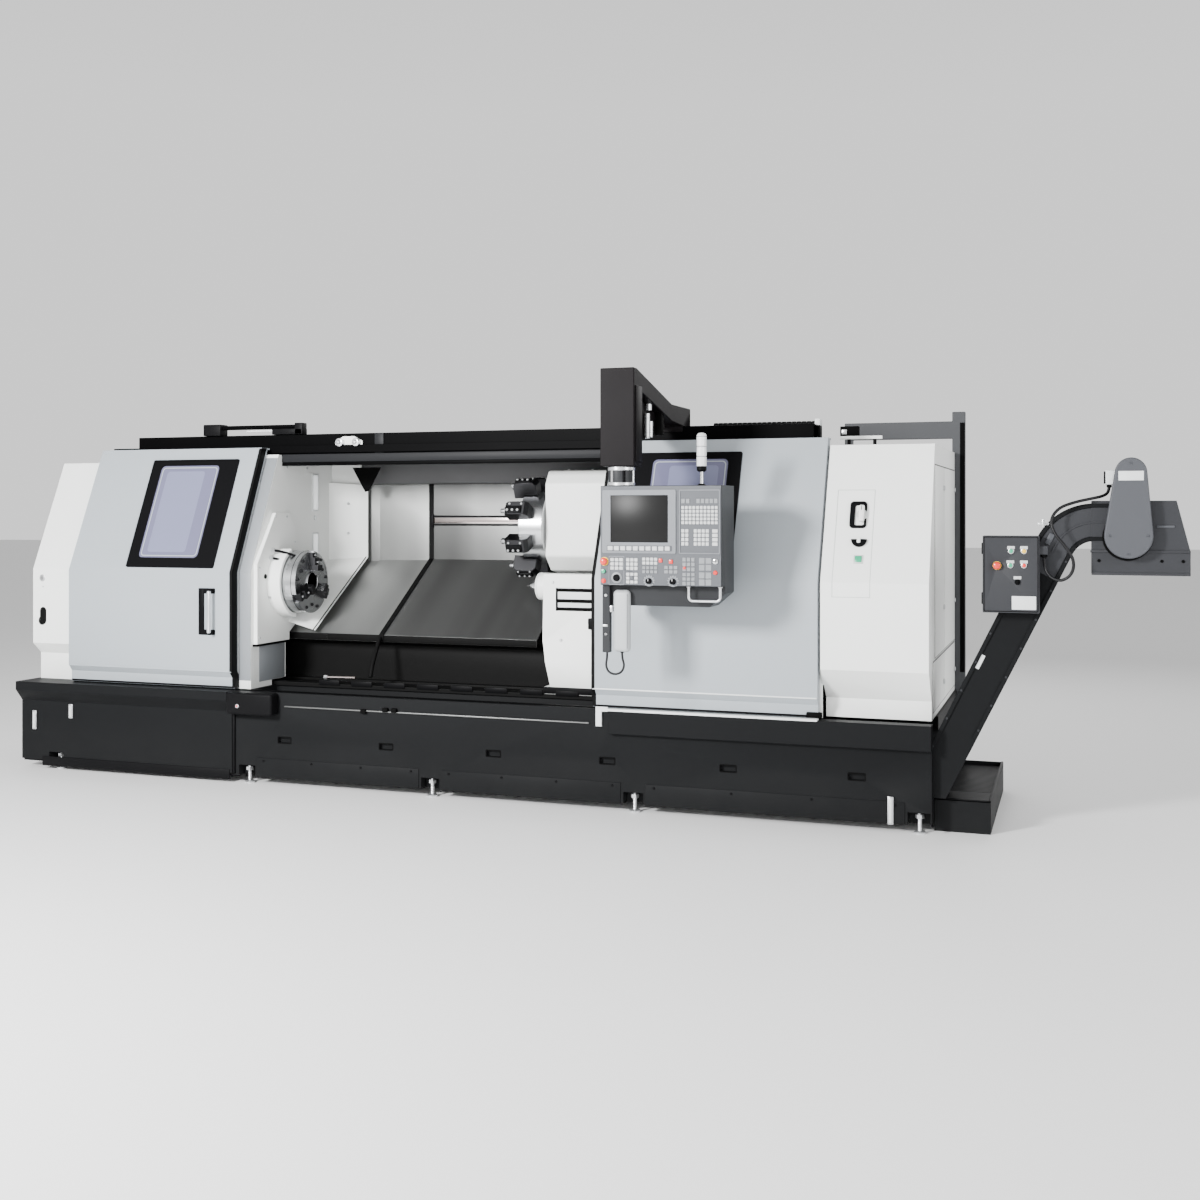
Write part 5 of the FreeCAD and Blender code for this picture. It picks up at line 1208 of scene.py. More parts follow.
panel_top = slope_height(1.844)
switch_parts = [
    (leaned(block((1.832, -0.6520, door_break), (1.836, -0.6490, panel_top), 0.001)), pearl_grey),
    (leaned(block((2.036, -0.6520, door_break), (2.040, -0.6490, panel_top), 0.001)), pearl_grey),
    (leaned(block((1.832, -0.6520, panel_top - 0.004), (2.040, -0.6490, panel_top), 0.001)), pearl_grey),
    (block((1.832, -0.6520, 1.256), (1.836, -0.6490, door_break), 0.001), pearl_grey),
    (block((2.036, -0.6520, 1.256), (2.040, -0.6490, door_break), 0.001), pearl_grey),
    (block((1.832, -0.6520, 1.256), (2.040, -0.6490, 1.260), 0.001), pearl_grey),
    (
        leaned(
            ring_plate(
                (1.908, slope_height(1.630)), (2.000, slope_height(1.776)), (0.028, 0.012, 0.016, 0.022),
                -0.6600, -0.6490, (0.020, 0.010))),
        frame_black),]
half_place = (1.967, -0.650, slope_height(1.556))
half_disc = plate(
    "y",
    [
        (1.967 + 0.043 * math.cos(t), half_place[2] - 0.043 * math.sin(t) + 0.012)
        for t in np.linspace(0, math.pi, 24)],
    -0.668, -0.649, 0.003)
switch_parts.append((leaned(half_disc), frame_black))
switch_parts.append(
    (
        leaned(
            block((1.958, -0.676, half_place[2] - 0.012), (1.976, -0.664, half_place[2] + 0.018), 0.004)),
        off_white))
button_z = slope_height(1.461)
switch_parts.append(
    (leaned(block((1.943, -0.656, button_z - 0.026), (1.995, -0.649, button_z + 0.026), 0.004)), pearl_grey)
)
switch_parts.append(
    (
        leaned(block((1.950, -0.662, button_z - 0.018), (1.988, -0.655, button_z + 0.018), 0.004)),
        signal_green))
piece("switch_panel", "machine", switch_parts)

white_enamel = finish("white_enamel", (0.84, 0.84, 0.82), 0.3, grains=600.0, depth=0.04, coat=0.2)
handle_z = slope_height(1.702)
bar = leaned(block((1.960, -0.690, handle_z - 0.048), (1.990, -0.662, handle_z + 0.048), 0.008, 4))
dial = leaned(
    turned(
        "y", (1.975, -0.650, handle_z),
        [(0.0, 0.0), (-0.0006, 0.030), (-0.010, 0.031), (-0.014, 0.028), (-0.016, 0.0)], 40))
stem = leaned(
    turned(
        "y", (1.975, -0.650, handle_z), [(0.028, 0.0), (0.028, 0.0098), (-0.004, 0.0098), (-0.004, 0.0)], 20
    ))
mark = leaned(block((1.973, -0.6915, handle_z + 0.016), (1.977, -0.6895, handle_z + 0.042), 0.0008))
piece(
    "breaker_lever", "breaker",
    [(bar, white_enamel), (dial, pearl_grey), (stem, zinc), (mark, frame_black)],
    ["breaker_handle"])

cabinet_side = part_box("right_cabinet")[1][0]
side_parts = []
for low_z, high_z in ((0.625, 0.895), (0.915, 1.980)):
    for y0, y1 in ((-0.440, 0.180), (0.200, 0.860)):
        y_front = max(y0, -0.640 + max(0.0, high_z - door_break) * math.tan(lean) + 0.03)
        side_parts.append(
            (
                block((cabinet_side - 0.001, y_front, low_z), (cabinet_side + 0.004, y1, high_z), 0.002),
                off_white))
        side_parts.append(
            (
                block(
                    (cabinet_side - 0.001, y_front - 0.007, low_z - 0.007),
                    (cabinet_side + 0.001, y1 + 0.007, high_z + 0.007), 0.0005),
                rail_grey))
        for z in ((0.730,) if low_z < 0.7 else (1.165, 1.860)):
            knob = turned(
                "x", (cabinet_side + 0.004, y1 - 0.05, z),
                [(-0.001, 0), (-0.001, 0.016), (0.006, 0.015), (0.010, 0.009), (0.010, 0)], 28)
            side_parts.append((knob, zinc))
piece("service_doors", "machine", side_parts)

# ======================================================================== rear rail and cabinets
# A dark steel frame stands behind the cabinet, and the electrical cabinet hangs on the machine's back:
# a folded box with a door, quarter-turn locks and louvres. Sheet panels close the rest of the back.

rail_paint = finish(
    "rail_paint", (0.060, 0.062, 0.066), 0.42, grains=1300.0, depth=0.08, mottle=0.1, gleam=0.15)
dressed("rear_rail", rail_paint, 0.004)
dressed("electrical_cabinet", off_white, 0.002)
dressed("cabinet_door", off_white, 0.004)
door_low, door_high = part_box("cabinet_door")
back = door_high[1]
rear_parts = []
for z in (0.55, 1.18, 1.80):
    rear_parts.append(
        (
            turned(
                "y", (0.66, back, z),
                [(-0.002, 0), (-0.002, 0.022), (-0.0005, 0.022), (0.0, 0.018), (0.0, 0)], 28),
            zinc))
for row in range(9):
    z = 0.46 + row * 0.032
    rear_parts.append(
        (
            plate(
                "x",
                [
                    (back - 0.008, z), (back - 0.0003, z - 0.006), (back - 0.0010, z + 0.010),
                    (back - 0.008, z + 0.014)],
                1.02, 1.38, 0.001),
            pearl_grey))
    rear_parts.append(
        (
            plate(
                "x",
                [
                    (back - 0.008, z + 1.15), (back - 0.0003, z + 1.144), (back - 0.0010, z + 1.160),
                    (back - 0.008, z + 1.164)],
                1.02, 1.38, 0.001),
            pearl_grey))
piece("cabinet_door_fittings", "rear_door", rear_parts)

rear_y = 0.900
panel_parts = []
for x0, x1 in (
    (-3.56, -3.29), (-3.24, -2.62), (-2.58, -1.95), (-1.88, -1.28), (-1.24, -0.64), (-0.60, 0.00),
    (0.04, 0.47)):
    top = 1.98 if x0 < -3.28 else 2.02
    panel_parts.append((block((x0, rear_y - 0.001, 0.64), (x1, rear_y + 0.004, top), 0.002), off_white))
    for x in (x0 + 0.03, x1 - 0.03):
        panel_parts += [
            (cap_screw("y", (x, rear_y + 0.004, z), 0.008, 1), zinc) for z in (0.68, 1.32, top - 0.04)]
for row in range(12):
    z = 0.80 + row * 0.034
    for x0 in (-3.14, -2.48):
        panel_parts.append(
            (
                plate(
                    "x",
                    [
                        (rear_y + 0.002, z), (rear_y + 0.014, z - 0.008), (rear_y + 0.013, z + 0.008),
                        (rear_y + 0.002, z + 0.014)],
                    x0, x0 + 0.42, 0.001),
                pearl_grey))
piece("rear_panels", "machine", panel_parts)
rail_parts = [
    (block((2.384, 0.8975, 0.700), (2.414, 0.9010, 2.290), 0.001), seam_and_painted_shadow_black),
    (block((1.700, 0.400, 2.170), (1.960, 0.430, 2.190), 0.003), off_white),
    (block((1.700, 0.420, 2.188), (1.816, 0.460, 2.252), 0.004), seam_and_painted_shadow_black),
    (block((1.712, 0.414, 2.202), (1.742, 0.422, 2.232), 0.002), zinc),
    (block((1.748, 0.404, 2.098), (1.768, 0.426, 2.174), 0.002), charcoal_trim),
    (block((1.905, 0.404, 2.098), (1.925, 0.426, 2.174), 0.002), charcoal_trim)]
piece("roof_gear_bracket", "machine", rail_parts)

# ======================================================================== pendant and its arm
# The control pendant hangs from a black folded arm that runs along the lintel. Its steel box is dark
# grey; a lighter face carries the screen, the keys and the operating panel below them.

arm_black = finish(
    "arm_black", (0.0068, 0.0058, 0.0064), 0.45, grains=1300.0, depth=0.08, mottle=0.06, gleam=0.05)
shell_grey = finish("pendant_shell_grey", (0.026, 0.027, 0.029), 0.42, grains=1200.0, depth=0.08, gleam=0.15)
face_grey = finish(
    "pendant_face_grey", (0.095, 0.10, 0.11), 0.45, grains=1500.0, depth=0.05, mottle=0.02, gleam=0.2)
bezel_grey = finish("bezel_grey", (0.18, 0.19, 0.205), 0.4, grains=1500.0, depth=0.04, gleam=0.2)
screen_black = finish("screen_glass", (0.010, 0.010, 0.010), 0.35, mottle=0.02, gleam=0.12)
key_white = finish("key_cap_white", (0.52, 0.53, 0.53), 0.42, grains=800.0, depth=0.04)
key_grey = finish("key_cap_grey", (0.20, 0.21, 0.22), 0.45, grains=800.0, depth=0.04)
signal_red = finish("signal_red", (0.72, 0.02, 0.015), 0.28, coat=0.5)
signal_yellow = finish("signal_yellow", (0.85, 0.52, 0.03), 0.32, coat=0.3)
dressed("pendant_arm", arm_black, 0.006)
dressed("pendant_shell", shell_grey, 0.008)
dressed("pendant_face", face_grey, 0.001)
face_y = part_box("pendant_face")[0][1]


def keys(x0, x1, z0, z1, columns, rows, gap=0.004, rise=0.004, radius=0.002):
    """A field of key caps: a grid of rounded blocks standing on the pendant's face."""
    width = (x1 - x0 + gap) / columns
    height = (z1 - z0 + gap) / rows
    cap = block((0, face_y - rise, 0), (width - gap, face_y + 0.001, height - gap), radius, 1)
    offsets = [
        (x0 + width * column, 0, z0 + height * row) for column in range(columns) for row in range(rows)]
    return copies(cap, offsets)


screen_low, screen_high = (0.733, 1.561), (1.052, 1.806)
panel_parts = [
    (
        ring_plate(
            (0.684, 1.500), (1.094, 1.838), (0.046, 0.042, 0.058, 0.028), face_y - 0.006, face_y + 0.001,
            (0.008, 0.004)),
        bezel_grey),
    (
        block(
            (screen_low[0] - 0.004, face_y - 0.0025, screen_low[1] - 0.004),
            (screen_high[0] + 0.004, face_y + 0.001, screen_high[1] + 0.004), 0.002),
        screen_black),
    (block((0.711, face_y - 0.0095, 1.512), (1.072, face_y - 0.004, 1.541), 0.002), face_grey),
    (
        copies(
            block((0, face_y - 0.012, 1.515), (0.028, face_y - 0.008, 1.538), 0.002, 1),
            [(0.716 + 0.0355 * n, 0, 0) for n in range(10)]),
        key_white),
    (
        ring_plate(
            (1.112, 1.500), (1.334, 1.838), (0.005,) * 4, face_y - 0.004, face_y + 0.001, (0.006, 0.004)),
        bezel_grey),
    (keys(1.124, 1.170, 1.766, 1.790, 2, 1), key_grey), (keys(1.206, 1.322, 1.766, 1.790, 5, 1), key_grey),
    (keys(1.124, 1.322, 1.656, 1.752, 10, 5), key_white),
    (keys(1.124, 1.163, 1.543, 1.630, 2, 4), key_white),
    (keys(1.192, 1.274, 1.543, 1.630, 4, 4), key_white),
    (keys(1.292, 1.322, 1.543, 1.630, 1, 4), key_white),
    (
        ring_plate(
            (0.720, 1.330), (0.808, 1.484), (0.004,) * 4, face_y - 0.003, face_y + 0.001, (0.005, 0.003)),
        bezel_grey),
    (keys(0.728, 0.800, 1.410, 1.474, 3, 3), key_white),
    (keys(0.818, 0.882, 1.410, 1.474, 3, 3), key_white),
    (keys(0.818, 0.882, 1.338, 1.396, 3, 3), key_white),
    (keys(0.908, 0.992, 1.440, 1.478, 4, 2), key_white), (keys(0.908, 0.992, 1.394, 1.432, 4, 2), key_grey),
    (keys(1.030, 1.104, 1.394, 1.436, 3, 2), key_grey), (keys(1.130, 1.198, 1.408, 1.480, 3, 3), key_grey),
    (keys(1.130, 1.198, 1.334, 1.400, 3, 3), key_grey),
    (keys(1.220, 1.288, 1.412, 1.480, 2, 2, rise=0.003), key_grey),
    (keys(1.220, 1.288, 1.334, 1.404, 2, 2, rise=0.003), key_grey),
    (block((1.000, face_y - 0.006, 1.452), (1.020, face_y, 1.474), 0.003), signal_red),
    (block((1.056, face_y - 0.006, 1.446), (1.078, face_y, 1.468), 0.003), signal_red),
    (block((1.134, face_y - 0.0065, 1.418), (1.148, face_y, 1.432), 0.002), signal_red),]
jog_x, jog_z = 0.850, 1.367
panel_parts.append(
    (
        block(
            (jog_x - 0.010, face_y - 0.0055, jog_z - 0.010), (jog_x + 0.010, face_y, jog_z + 0.010), 0.002),
        face_grey))
dial_place = (0.764, face_y, 1.368)
panel_parts.append(
    (
        turned(
            "y", dial_place, [(0.001, 0), (0.001, 0.030), (-0.003, 0.030), (-0.004, 0.028), (-0.004, 0.0)],
            36),
        key_grey))
panel_parts.append(
    (
        turned(
            "y", dial_place, [(-0.003, 0), (-0.003, 0.020), (-0.012, 0.018), (-0.014, 0.015), (-0.014, 0)],
            30),
        frame_black))
second_knob = (1.078, face_y, 1.352)
for place in ((0.945, face_y, 1.353), second_knob):
    panel_parts.append(
        (turned("y", place, [(0.001, 0), (0.001, 0.028), (-0.0002, 0.028), (-0.0002, 0)], 36), bezel_grey))
    for angle in np.arange(-135, 136, 27):
        tick = block(
            (place[0] - 0.0008, face_y - 0.0008, place[2] + 0.024),
            (place[0] + 0.0008, face_y + 0.0005, place[2] + 0.032), 0.0003, 1)
        panel_parts.append((spun(tick, "y", angle, place), key_white))
panel_parts.append(
    (
        turned(
            "y", second_knob, [(0.0, 0), (0.0, 0.017), (-0.018, 0.015), (-0.020, 0.013), (-0.020, 0)], 36),
        frame_black))
panel_parts.append(
    (block((1.0765, face_y - 0.0212, 1.354), (1.0795, face_y - 0.0190, 1.367), 0.0005), key_white))
key_switch = (1.310, face_y, 1.462)
panel_parts.append(
    (
        turned(
            "y", key_switch, [(0.001, 0), (0.001, 0.016), (-0.006, 0.015), (-0.008, 0.011), (-0.008, 0)], 30
        ),
        bright))
panel_parts.append(
    (block((1.3085, face_y - 0.0095, 1.452), (1.3115, face_y - 0.007, 1.472), 0.0005), frame_black))
panel_parts.append(
    (
        turned(
            "y", (1.309, face_y, 1.402),
            [(0.001, 0), (0.001, 0.012), (-0.006, 0.011), (-0.008, 0.008), (-0.008, 0)], 30),
        signal_red))
stop_place = (0.690, face_y, 1.350)
panel_parts.append(
    (
        turned(
            "y", stop_place,
            [(0.001, 0), (0.001, 0.013), (-0.003, 0.013), (-0.003, 0.010), (-0.010, 0.009), (-0.011, 0)], 30
        ),
        signal_red))
panel_parts.append(
    (
        turned(
            "y", (0.694, face_y, 1.455),
            [(0.001, 0.0082), (0.001, 0.0235), (-0.0006, 0.0235), (-0.0006, 0.0082)], 40),
        signal_yellow))
piece("pendant_controls", "pendant", panel_parts)


def mushroom(name, body, node):
    """A mushroom-headed stop button: a domed red head on a plated stem in its bore."""
    low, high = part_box(node)
    centre = (low + high) / 2
    y0 = low[1]
    shape = turned("y", (centre[0], 0, centre[2]), [
        (y0, 0.0), (y0 + 0.0008, 0.010), (y0 + 0.004, 0.0165), (y0 + 0.009, 0.0195), (y0 + 0.016, 0.0198),
        (y0 + 0.021, 0.0175), (y0 + 0.022, 0.013), (y0 + 0.022, 0.0)], 48)
    stem_shape = turned(
        "y", (centre[0], 0, centre[2]),
        [(y0 + 0.020, 0), (y0 + 0.020, 0.0079), (high[1], 0.0079), (high[1], 0)], 24)
    piece(name, body, [(shape, signal_red), (stem_shape, zinc)], [node])


mushroom("pendant_stop_head", "pendant_stop_button", "pendant_stop")
low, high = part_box("cycle_start")
centre = (low + high) / 2
piece(
    "start_cap", "start_button",
    [
        (
            turned(
                "y", (centre[0], 0, centre[2]),
                [
                    (low[1], 0.0), (low[1], 0.009), (low[1] + 0.001, 0.0112), (low[1] + 0.008, 0.0118),
                    (low[1] + 0.008, 0.0)],
                36),
            signal_green),
        (
            turned(
                "y", (centre[0], 0, centre[2]),
                [(low[1] + 0.007, 0), (low[1] + 0.007, 0.0059), (high[1], 0.0059), (high[1], 0)], 20),
            zinc),],
    ["cycle_start"])
low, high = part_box("feed_knob")
centre = (low + high) / 2
ridges = [
    (
        turned(
            "y", (centre[0], 0, centre[2]),
            [
                (low[1], 0.0), (low[1], 0.0125), (low[1] + 0.002, 0.0145), (low[1] + 0.018, 0.0165),
                (low[1] + 0.020, 0.0165), (low[1] + 0.020, 0.0)],
            18),
        frame_black),
    (
        turned(
            "y", (centre[0], 0, centre[2]),
            [(low[1] + 0.018, 0), (low[1] + 0.018, 0.0059), (high[1], 0.0059), (high[1], 0)], 20),
        zinc),
    (
        block(
            (centre[0] - 0.0015, low[1] - 0.0004, centre[2]),
            (centre[0] + 0.0015, low[1] + 0.0015, centre[2] + 0.012), 0.0005),
        key_white)]
piece("feed_dial_cap", "feed_dial", ridges, ["feed_knob"])

low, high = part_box("pendant_handle")
radius = 0.007
t = np.linspace(0, math.pi / 2, 7)
corner = 0.022
handle_y = (low[1] + high[1]) / 2
left_x, right_x, bottom_z, top_z = low[0] + radius, high[0] - radius, low[2] + radius, high[2]
left_turn = np.stack(
    [left_x + corner - corner * np.cos(t), 0 * t + handle_y, bottom_z + corner - corner * np.sin(t)], -1)
right_turn = np.stack(
    [right_x - corner + corner * np.sin(t), 0 * t + handle_y, bottom_z + corner - corner * np.cos(t)], -1)
handle_path = np.concatenate(
    [[(left_x, handle_y, top_z)], left_turn, right_turn, [(right_x, handle_y, top_z)]])
piece(
    "pendant_grip", "pendant",
    [
        (hose(handle_path, radius, 16), satin_aluminium),
        (turned("z", (left_x, handle_y, top_z), [(-0.006, 0), (-0.006, 0.012), (0, 0.012), (0, 0)]), zinc),
        (turned("z", (right_x, handle_y, top_z), [(-0.006, 0), (-0.006, 0.012), (0, 0.012), (0, 0)]), zinc)
    ],
    ["pendant_handle"])

swivel = (0.765, -1.065)
collar_parts = []
for radius, low_z, high_z in ((0.0715, 1.862, 1.880), (0.0715, 1.944, 1.964), (0.052, 1.880, 1.944)):
    collar_parts.append(
        (
            turned(
                "z", (*swivel, 0),
                [
                    (low_z, 0), (low_z, radius), (low_z + 0.003, radius + 0.002),
                    (high_z - 0.003, radius + 0.002), (high_z, radius), (high_z, 0)],
                48),
            satin_aluminium))
for angle in range(0, 360, 60):
    post = turned(
        "z", (swivel[0] + 0.064, swivel[1], 0), [(1.880, 0), (1.880, 0.010), (1.944, 0.010), (1.944, 0)], 20
    )
    collar_parts.append((spun(post, "z", angle, (*swivel, 0)), frame_black if angle % 120 else bright))
piece("swivel_collar", "pendant", collar_parts)

lamp_white_glass = finish("lamp_dome", (0.80, 0.82, 0.84), 0.2, coat=0.8, clear=0.1)
low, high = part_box("signal_lamp")
centre = (low + high) / 2
lamp_foot = (*centre[:2], low[2])
lamp_shapes = [
    (
        turned("z", lamp_foot, [(0, 0), (0, 0.022), (0.004, 0.024), (0.012, 0.014), (0.012, 0)], 32),
        frame_black),
    (turned("z", lamp_foot, [(0.010, 0), (0.010, 0.0088), (0.104, 0.0088), (0.104, 0)], 24), bright),
    (
        turned(
            "z", lamp_foot,
            [(0.076, 0), (0.076, 0.018), (0.084, 0.0265), (0.104, 0.0265), (0.106, 0.024), (0.106, 0)], 40),
        frame_black)]
for number in range(3):
    start = 0.106 + 0.054 * number
    lamp_shapes.append(
        (
            turned(
                "z", lamp_foot,
                [
                    (start, 0), (start, 0.0255), (start + 0.002, 0.0268), (start + 0.049, 0.0268),
                    (start + 0.051, 0.0250), (start + 0.051, 0)],
                40),
            lamp_white_glass))
lamp_shapes.append(
    (
        turned(
            "z", lamp_foot, [(0.268, 0), (0.268, 0.0265), (0.274, 0.0262), (0.284, 0.018), (0.2868, 0)], 40
        ),
        pale_trim_and_painted_highlight))
piece("signal_tower", "pendant", lamp_shapes, ["signal_lamp"])

low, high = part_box("handset")
handset_grey = finish("handset_grey", (0.40, 0.42, 0.43), 0.4, grains=900.0, depth=0.04)
handset_parts = [
    (block(low, (high[0], high[1], high[2]), 0.026, 5), handset_grey),
    (
        turned(
            "z", ((low[0] + high[0]) / 2, -1.084, low[2]),
            [(0.002, 0), (0.002, 0.012), (-0.003, 0.011), (-0.003, 0)], 24),
        frame_black),
    (
        block(
            (high[0] - 0.014, low[1] - 0.0012, low[2] + 0.020),
            (high[0] - 0.010, low[1] + 0.002, high[2] - 0.020), 0.0008),
        key_grey),]
piece("hand_pulse_unit", "pendant", handset_parts, ["handset"])
bracket_parts = [
    (block((0.712, -1.104, 1.180), (0.727, -1.062, 1.215), 0.003), zinc),
    (block((0.671, -1.106, 1.100), (0.700, -1.098, 1.112), 0.002), zinc),
    (cap_screw("y", (0.689, -1.100, 1.060), 0.008), bright),
    (cap_screw("y", (0.689, -1.100, 1.270), 0.008), zinc)]
piece("handset_clip", "pendant", bracket_parts)

shoe_low, shoe_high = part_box("pendant_arm")
arm_parts = [
    (block((shoe_high[0] - 0.001, -1.120, 1.990), (shoe_high[0] + 0.006, -1.010, 2.400), 0.003), arm_black)]
gusset = [(-0.992, 2.375), (-0.992, 2.130), (-0.900, 2.100), (-0.400, 2.215), (-0.400, 2.262)]
arm_parts.append((plate("x", gusset, shoe_low[0] + 0.012, shoe_low[0] + 0.022, 0.002), arm_black))
arm_parts.append((plate("x", gusset, shoe_high[0] - 0.060, shoe_high[0] - 0.050, 0.002), arm_black))
for y, low_z, high_z in ((-0.80, 2.13, 2.27), (-0.74, 2.14, 2.23)):
    arm_parts.append(
        (
            turned(
                "z", (shoe_high[0] - 0.034, y, 0),
                [(low_z, 0), (low_z, 0.014), (low_z + 0.003, 0.016), (high_z, 0.016), (high_z, 0)], 28),
            satin_aluminium))
arm_parts.append(
    (
        turned(
            "z", (shoe_high[0] - 0.034, -0.77, 0), [(2.290, 0), (2.290, 0.018), (2.325, 0.018), (2.325, 0)],
            28),
        satin_aluminium))
arm_parts.append(
    (block((shoe_high[0] - 0.052, -0.60, 2.16), (shoe_high[0] - 0.010, -0.55, 2.30), 0.004), seam_and_painted_shadow_black))
piece("arm_fittings", "pendant_carriage", arm_parts)

# ======================================================================== coolant tank
# A low sheet tank under the conveyor's climb, with a raised rim on two sides and a slotted tray.

dressed("coolant_tank", charcoal, 0.004)
low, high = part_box("coolant_tank")
tank_parts = [
    (
        block((low[0], low[1], high[2] - 0.012), (high[0], low[1] + 0.014, high[2] + 0.004), 0.004),
        charcoal_trim),
    (
        block((high[0] - 0.014, low[1], high[2] - 0.012), (high[0], high[1], high[2] + 0.004), 0.004),
        charcoal_trim)]
tank_parts.append(
    (
        block(
            (low[0] + 0.008, low[1] + 0.300, high[2] - 0.030),
            (high[0] - 0.008, high[1] - 0.008, high[2] - 0.024), 0.001),
        rail_grey))
for y in np.arange(low[1] + 0.32, high[1] - 0.03, 0.036):
    tank_parts.append(
        (
            block(
                (low[0] + 0.020, y, high[2] - 0.0245), (high[0] - 0.020, y + 0.014, high[2] - 0.0235),
                0.0004),
            seam_and_painted_shadow_black))
piece("tank_rim", "machine", tank_parts)

# ======================================================================== chip conveyor
# A folded sheet casing climbs out of the trough, bends over and drops the chips through a hood. Its
# flanges, side seams, drive cover, gearmotor and control box are fixed to the operator's side.

conveyor_grey = finish(
    "conveyor_grey", (0.030, 0.031, 0.0345), 0.45, grains=1400.0, depth=0.1, mottle=0.06, gleam=0.15)
drive_grey = finish(
    "drive_cover_grey", (0.064, 0.067, 0.075), 0.45, grains=1400.0, depth=0.08, mottle=0.04, gleam=0.2)
for node in ("conveyor_front_side", "conveyor_rear_side", "conveyor_top_plate", "conveyor_bottom_plate"):
    dressed(node, charcoal, 0.0015)
dressed("conveyor_hood", conveyor_grey, 0.0015)
dressed("control_box", conveyor_grey, 0.003)
dressed("drive_cover", drive_grey, 0.009)
climb = math.radians(64)
bend = np.array([3.180, 1.450])
inner_radius, outer_radius = 0.120, 0.315
casing_front = -0.592


def climbing(radius, reach):
    """A point on the casing's side: round the bend at a radius, or a reach down the straight climb."""
    start = bend + radius * np.array([-math.sin(climb), math.cos(climb)])
    return start - reach * np.array([math.cos(climb), math.sin(climb)])


def side_rail(radius, width, proud, length):
    """A flange that follows the casing's side: up the climb, round the bend and along the head."""
    t = np.linspace(climb, 0, 16)[:, None]
    rims = []
    for r in (radius, radius + width):
        arc = bend + r * np.concatenate([-np.sin(t), np.cos(t)], 1)
        rims.append(np.concatenate([[climbing(r, length)], arc, [bend + np.array([0.0, r]) + (0.10, 0.0)]]))
    outline = np.concatenate([rims[0], rims[1][::-1]])
    return plate("y", outline, casing_front - proud, casing_front + 0.001, 0.0015)


conveyor_parts = [
    (side_rail(outer_radius - 0.022, 0.020, 0.010, 1.26), charcoal),
    (side_rail(inner_radius + 0.002, 0.020, 0.010, 1.10), charcoal),
    (side_rail(0.210, 0.010, 0.006, 0.04), conveyor_grey),
]
conveyor_parts.append((side_rail(inner_radius + 0.024, 0.147, 0.0012, 0.16), conveyor_grey))
for reach in np.arange(0.05, 1.25, 0.17):
    for radius in (outer_radius - 0.012, inner_radius + 0.012):
        x, z = climbing(radius, min(reach, 1.05) if radius < 0.2 else reach)
        conveyor_parts.append((cap_screw("y", (x, casing_front - 0.010, z), 0.006), conveyor_grey))
x, z = climbing(0.285, 0.72)
label = spun(
    block(
        (x - 0.012, casing_front - 0.003, z - 0.040), (x + 0.012, casing_front + 0.001, z + 0.040), 0.002),
    "y", 26, (x, 0, z))
conveyor_parts.append((label, pale_trim_and_painted_highlight))
x, z = climbing(0.255, -0.02)
conveyor_parts.append(
    (
        spun(
            block(
                (x - 0.030, casing_front - 0.012, z - 0.014), (x + 0.030, casing_front, z + 0.014), 0.004),
            "y", -64, (x, 0, z)),
        drive_grey))
piece("conveyor_flanges", "machine", conveyor_parts)

low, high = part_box("conveyor_hood")
hood_parts = [
    (
        block((low[0] - 0.006, low[1] - 0.008, 1.512), (high[0], low[1] + 0.001, 1.524), 0.002),
        conveyor_grey),
    (
        block((low[0], low[1] - 0.006, low[2]), (high[0], low[1] + 0.001, low[2] + 0.014), 0.002),
        conveyor_grey),
    (block((3.475, low[1] - 0.006, 1.640), (3.560, low[1] + 0.001, 1.652), 0.002), drive_grey)]
for x in (3.20, 3.50, 3.60):
    hood_parts.append((cap_screw("y", (x, low[1], 1.470), 0.008), seam_and_painted_shadow_black))
piece("hood_seams", "machine", hood_parts)

low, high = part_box("drive_cover")
band = block((3.292, low[1] - 0.0015, 1.880), (3.412, low[1] + 0.004, 1.928), 0.002)
rim_screws = [
    (cap_screw("y", (x, low[1] - 0.0005, z), 0.006), drive_grey) for x,
    z in ((3.352, 1.968), (3.250, 1.600), (3.432, 1.600), (3.341, 1.506))]
# A black disc behind the drive cover, slightly larger and set low and to the left, shows as a dark rim under
# its lower edge. It is partly the cover's rubber gasket and partly a painted shadow.
gasket_and_painted_shadow = turned("y", (3.337, 0, 1.592), [(-0.612, 0.0), (-0.612, 0.121), (-0.597, 0.121), (-0.597, 0.0)], 56)
piece("drive_cover_band", "machine", [(band, pale_trim_and_painted_highlight), (gasket_and_painted_shadow, seam_and_painted_shadow_black)] + rim_screws)

low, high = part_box("conveyor_motor")
shaft_x, shaft_z = 3.352, 1.920
fins = [(-0.590, 0.0), (-0.590, 0.060)]
for number in range(14):
    y = -0.585 + number * 0.014
    fins += [(y, 0.056), (y + 0.002, 0.0648), (y + 0.006, 0.0648), (y + 0.008, 0.056)]
fins += [(-0.384, 0.060), (-0.350, 0.058), (-0.347, 0.050), (-0.346, 0.0)]
motor_parts = [
    (turned("y", (shaft_x, 0, shaft_z), fins, 48), drive_grey),
    (block((3.300, -0.550, 1.779), (3.404, -0.370, 1.880), 0.006), drive_grey),
    (block((3.226, -0.588, 1.861), (3.302, -0.531, 1.935), 0.006, 3), pale_trim_and_painted_highlight),
    (block((3.224, -0.590, 1.866), (3.232, -0.529, 1.930), 0.002), frame_black),
    (
        turned(
            "z", (3.250, -0.560, 1.860),
            [(0.003, 0), (0.003, 0.013), (-0.010, 0.013), (-0.014, 0.0095), (-0.014, 0)], 6),
        frame_black)]
piece("gearmotor", "machine", motor_parts, ["conveyor_motor"])

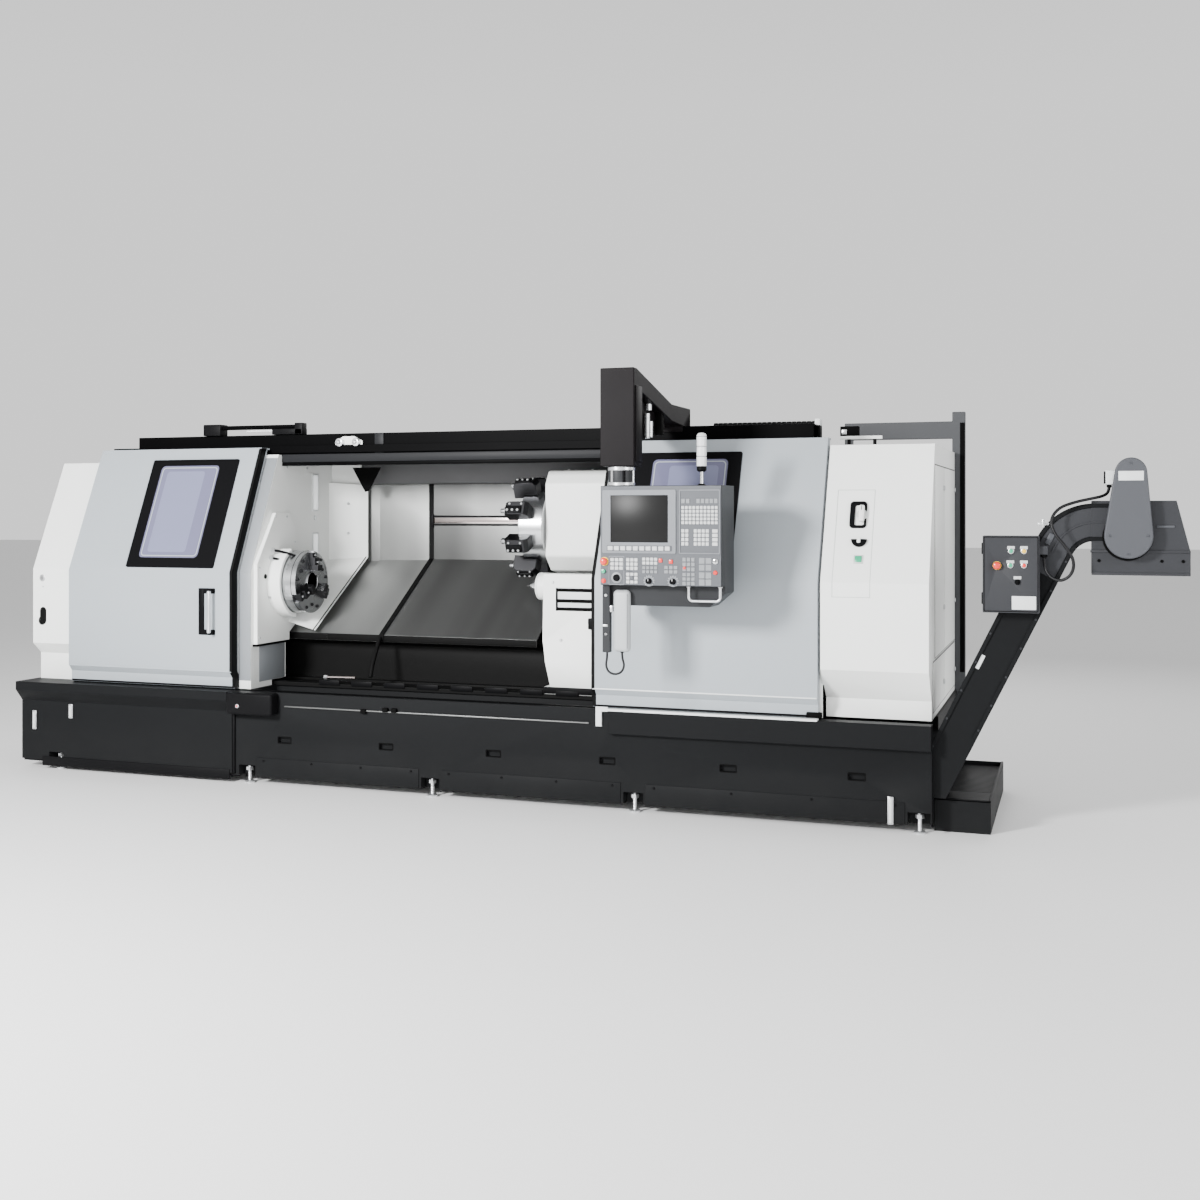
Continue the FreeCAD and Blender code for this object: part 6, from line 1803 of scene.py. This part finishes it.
low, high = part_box("control_box")
box_front = low[1]
box_parts = [
    (
        ring_plate(
            (2.634, 1.203), (2.906, 1.592), (0.004,) * 4, box_front - 0.002, box_front + 0.001,
            (0.008, 0.006)),
        charcoal_trim),
    (
        turned(
            "z", (2.932, -0.655, 1.500),
            [(0.004, 0), (0.004, 0.017), (-0.010, 0.017), (-0.016, 0.010), (-0.016, 0)], 6),
        frame_black),
    (block((2.622, box_front + 0.010, 1.240), (2.630, box_front + 0.060, 1.300), 0.003), charcoal_trim),
    (block((2.622, box_front + 0.010, 1.500), (2.630, box_front + 0.060, 1.560), 0.003), charcoal_trim),
    (block((2.775, box_front - 0.003, 1.215), (2.895, box_front + 0.001, 1.285), 0.002), pale_trim_and_painted_highlight),
    (
        turned(
            "y", (2.701, box_front, 1.442),
            [(0.001, 0.0082), (0.001, 0.0215), (-0.0006, 0.0215), (-0.0006, 0.0082)], 40),
        signal_yellow),]
for x, z, cap in (
    (2.771, 1.518, signal_green), (2.835, 1.518, signal_yellow), (2.768, 1.444, signal_green),
    (2.835, 1.444, signal_red)):
    box_parts.append(
        (
            block(
                (x - 0.019, box_front - 0.003, z + 0.010), (x + 0.019, box_front + 0.001, z + 0.026), 0.002
            ),
            key_white))
    box_parts.append(
        (
            turned(
                "y", (x, box_front, z),
                [(0.001, 0), (0.001, 0.015), (-0.004, 0.0145), (-0.005, 0.012), (-0.005, 0)], 32),
            zinc))
    box_parts.append(
        (
            turned(
                "y", (x, box_front, z),
                [(-0.004, 0), (-0.004, 0.0115), (-0.009, 0.0105), (-0.011, 0.007), (-0.011, 0)], 32),
            cap))
box_parts.append((block((2.900, -0.606, 1.652), (2.955, -0.590, 1.664), 0.002), zinc))
box_parts.append((block((2.922, -0.612, 1.640), (2.934, -0.590, 1.684), 0.002), zinc))
box_parts.append(
    (block((2.784, box_front - 0.003, 1.372), (2.822, box_front + 0.001, 1.388), 0.002), key_white))
box_parts.append(
    (
        turned(
            "y", (2.803, box_front, 1.358), [(0.001, 0), (0.001, 0.015), (-0.006, 0.014), (-0.006, 0)], 32),
        frame_black))
box_parts.append(
    (block((2.800, box_front - 0.018, 1.346), (2.806, box_front - 0.005, 1.370), 0.002), frame_black))
piece("control_box_fittings", "machine", box_parts)
mushroom("conveyor_stop_head", "conveyor_stop_button", "conveyor_stop")
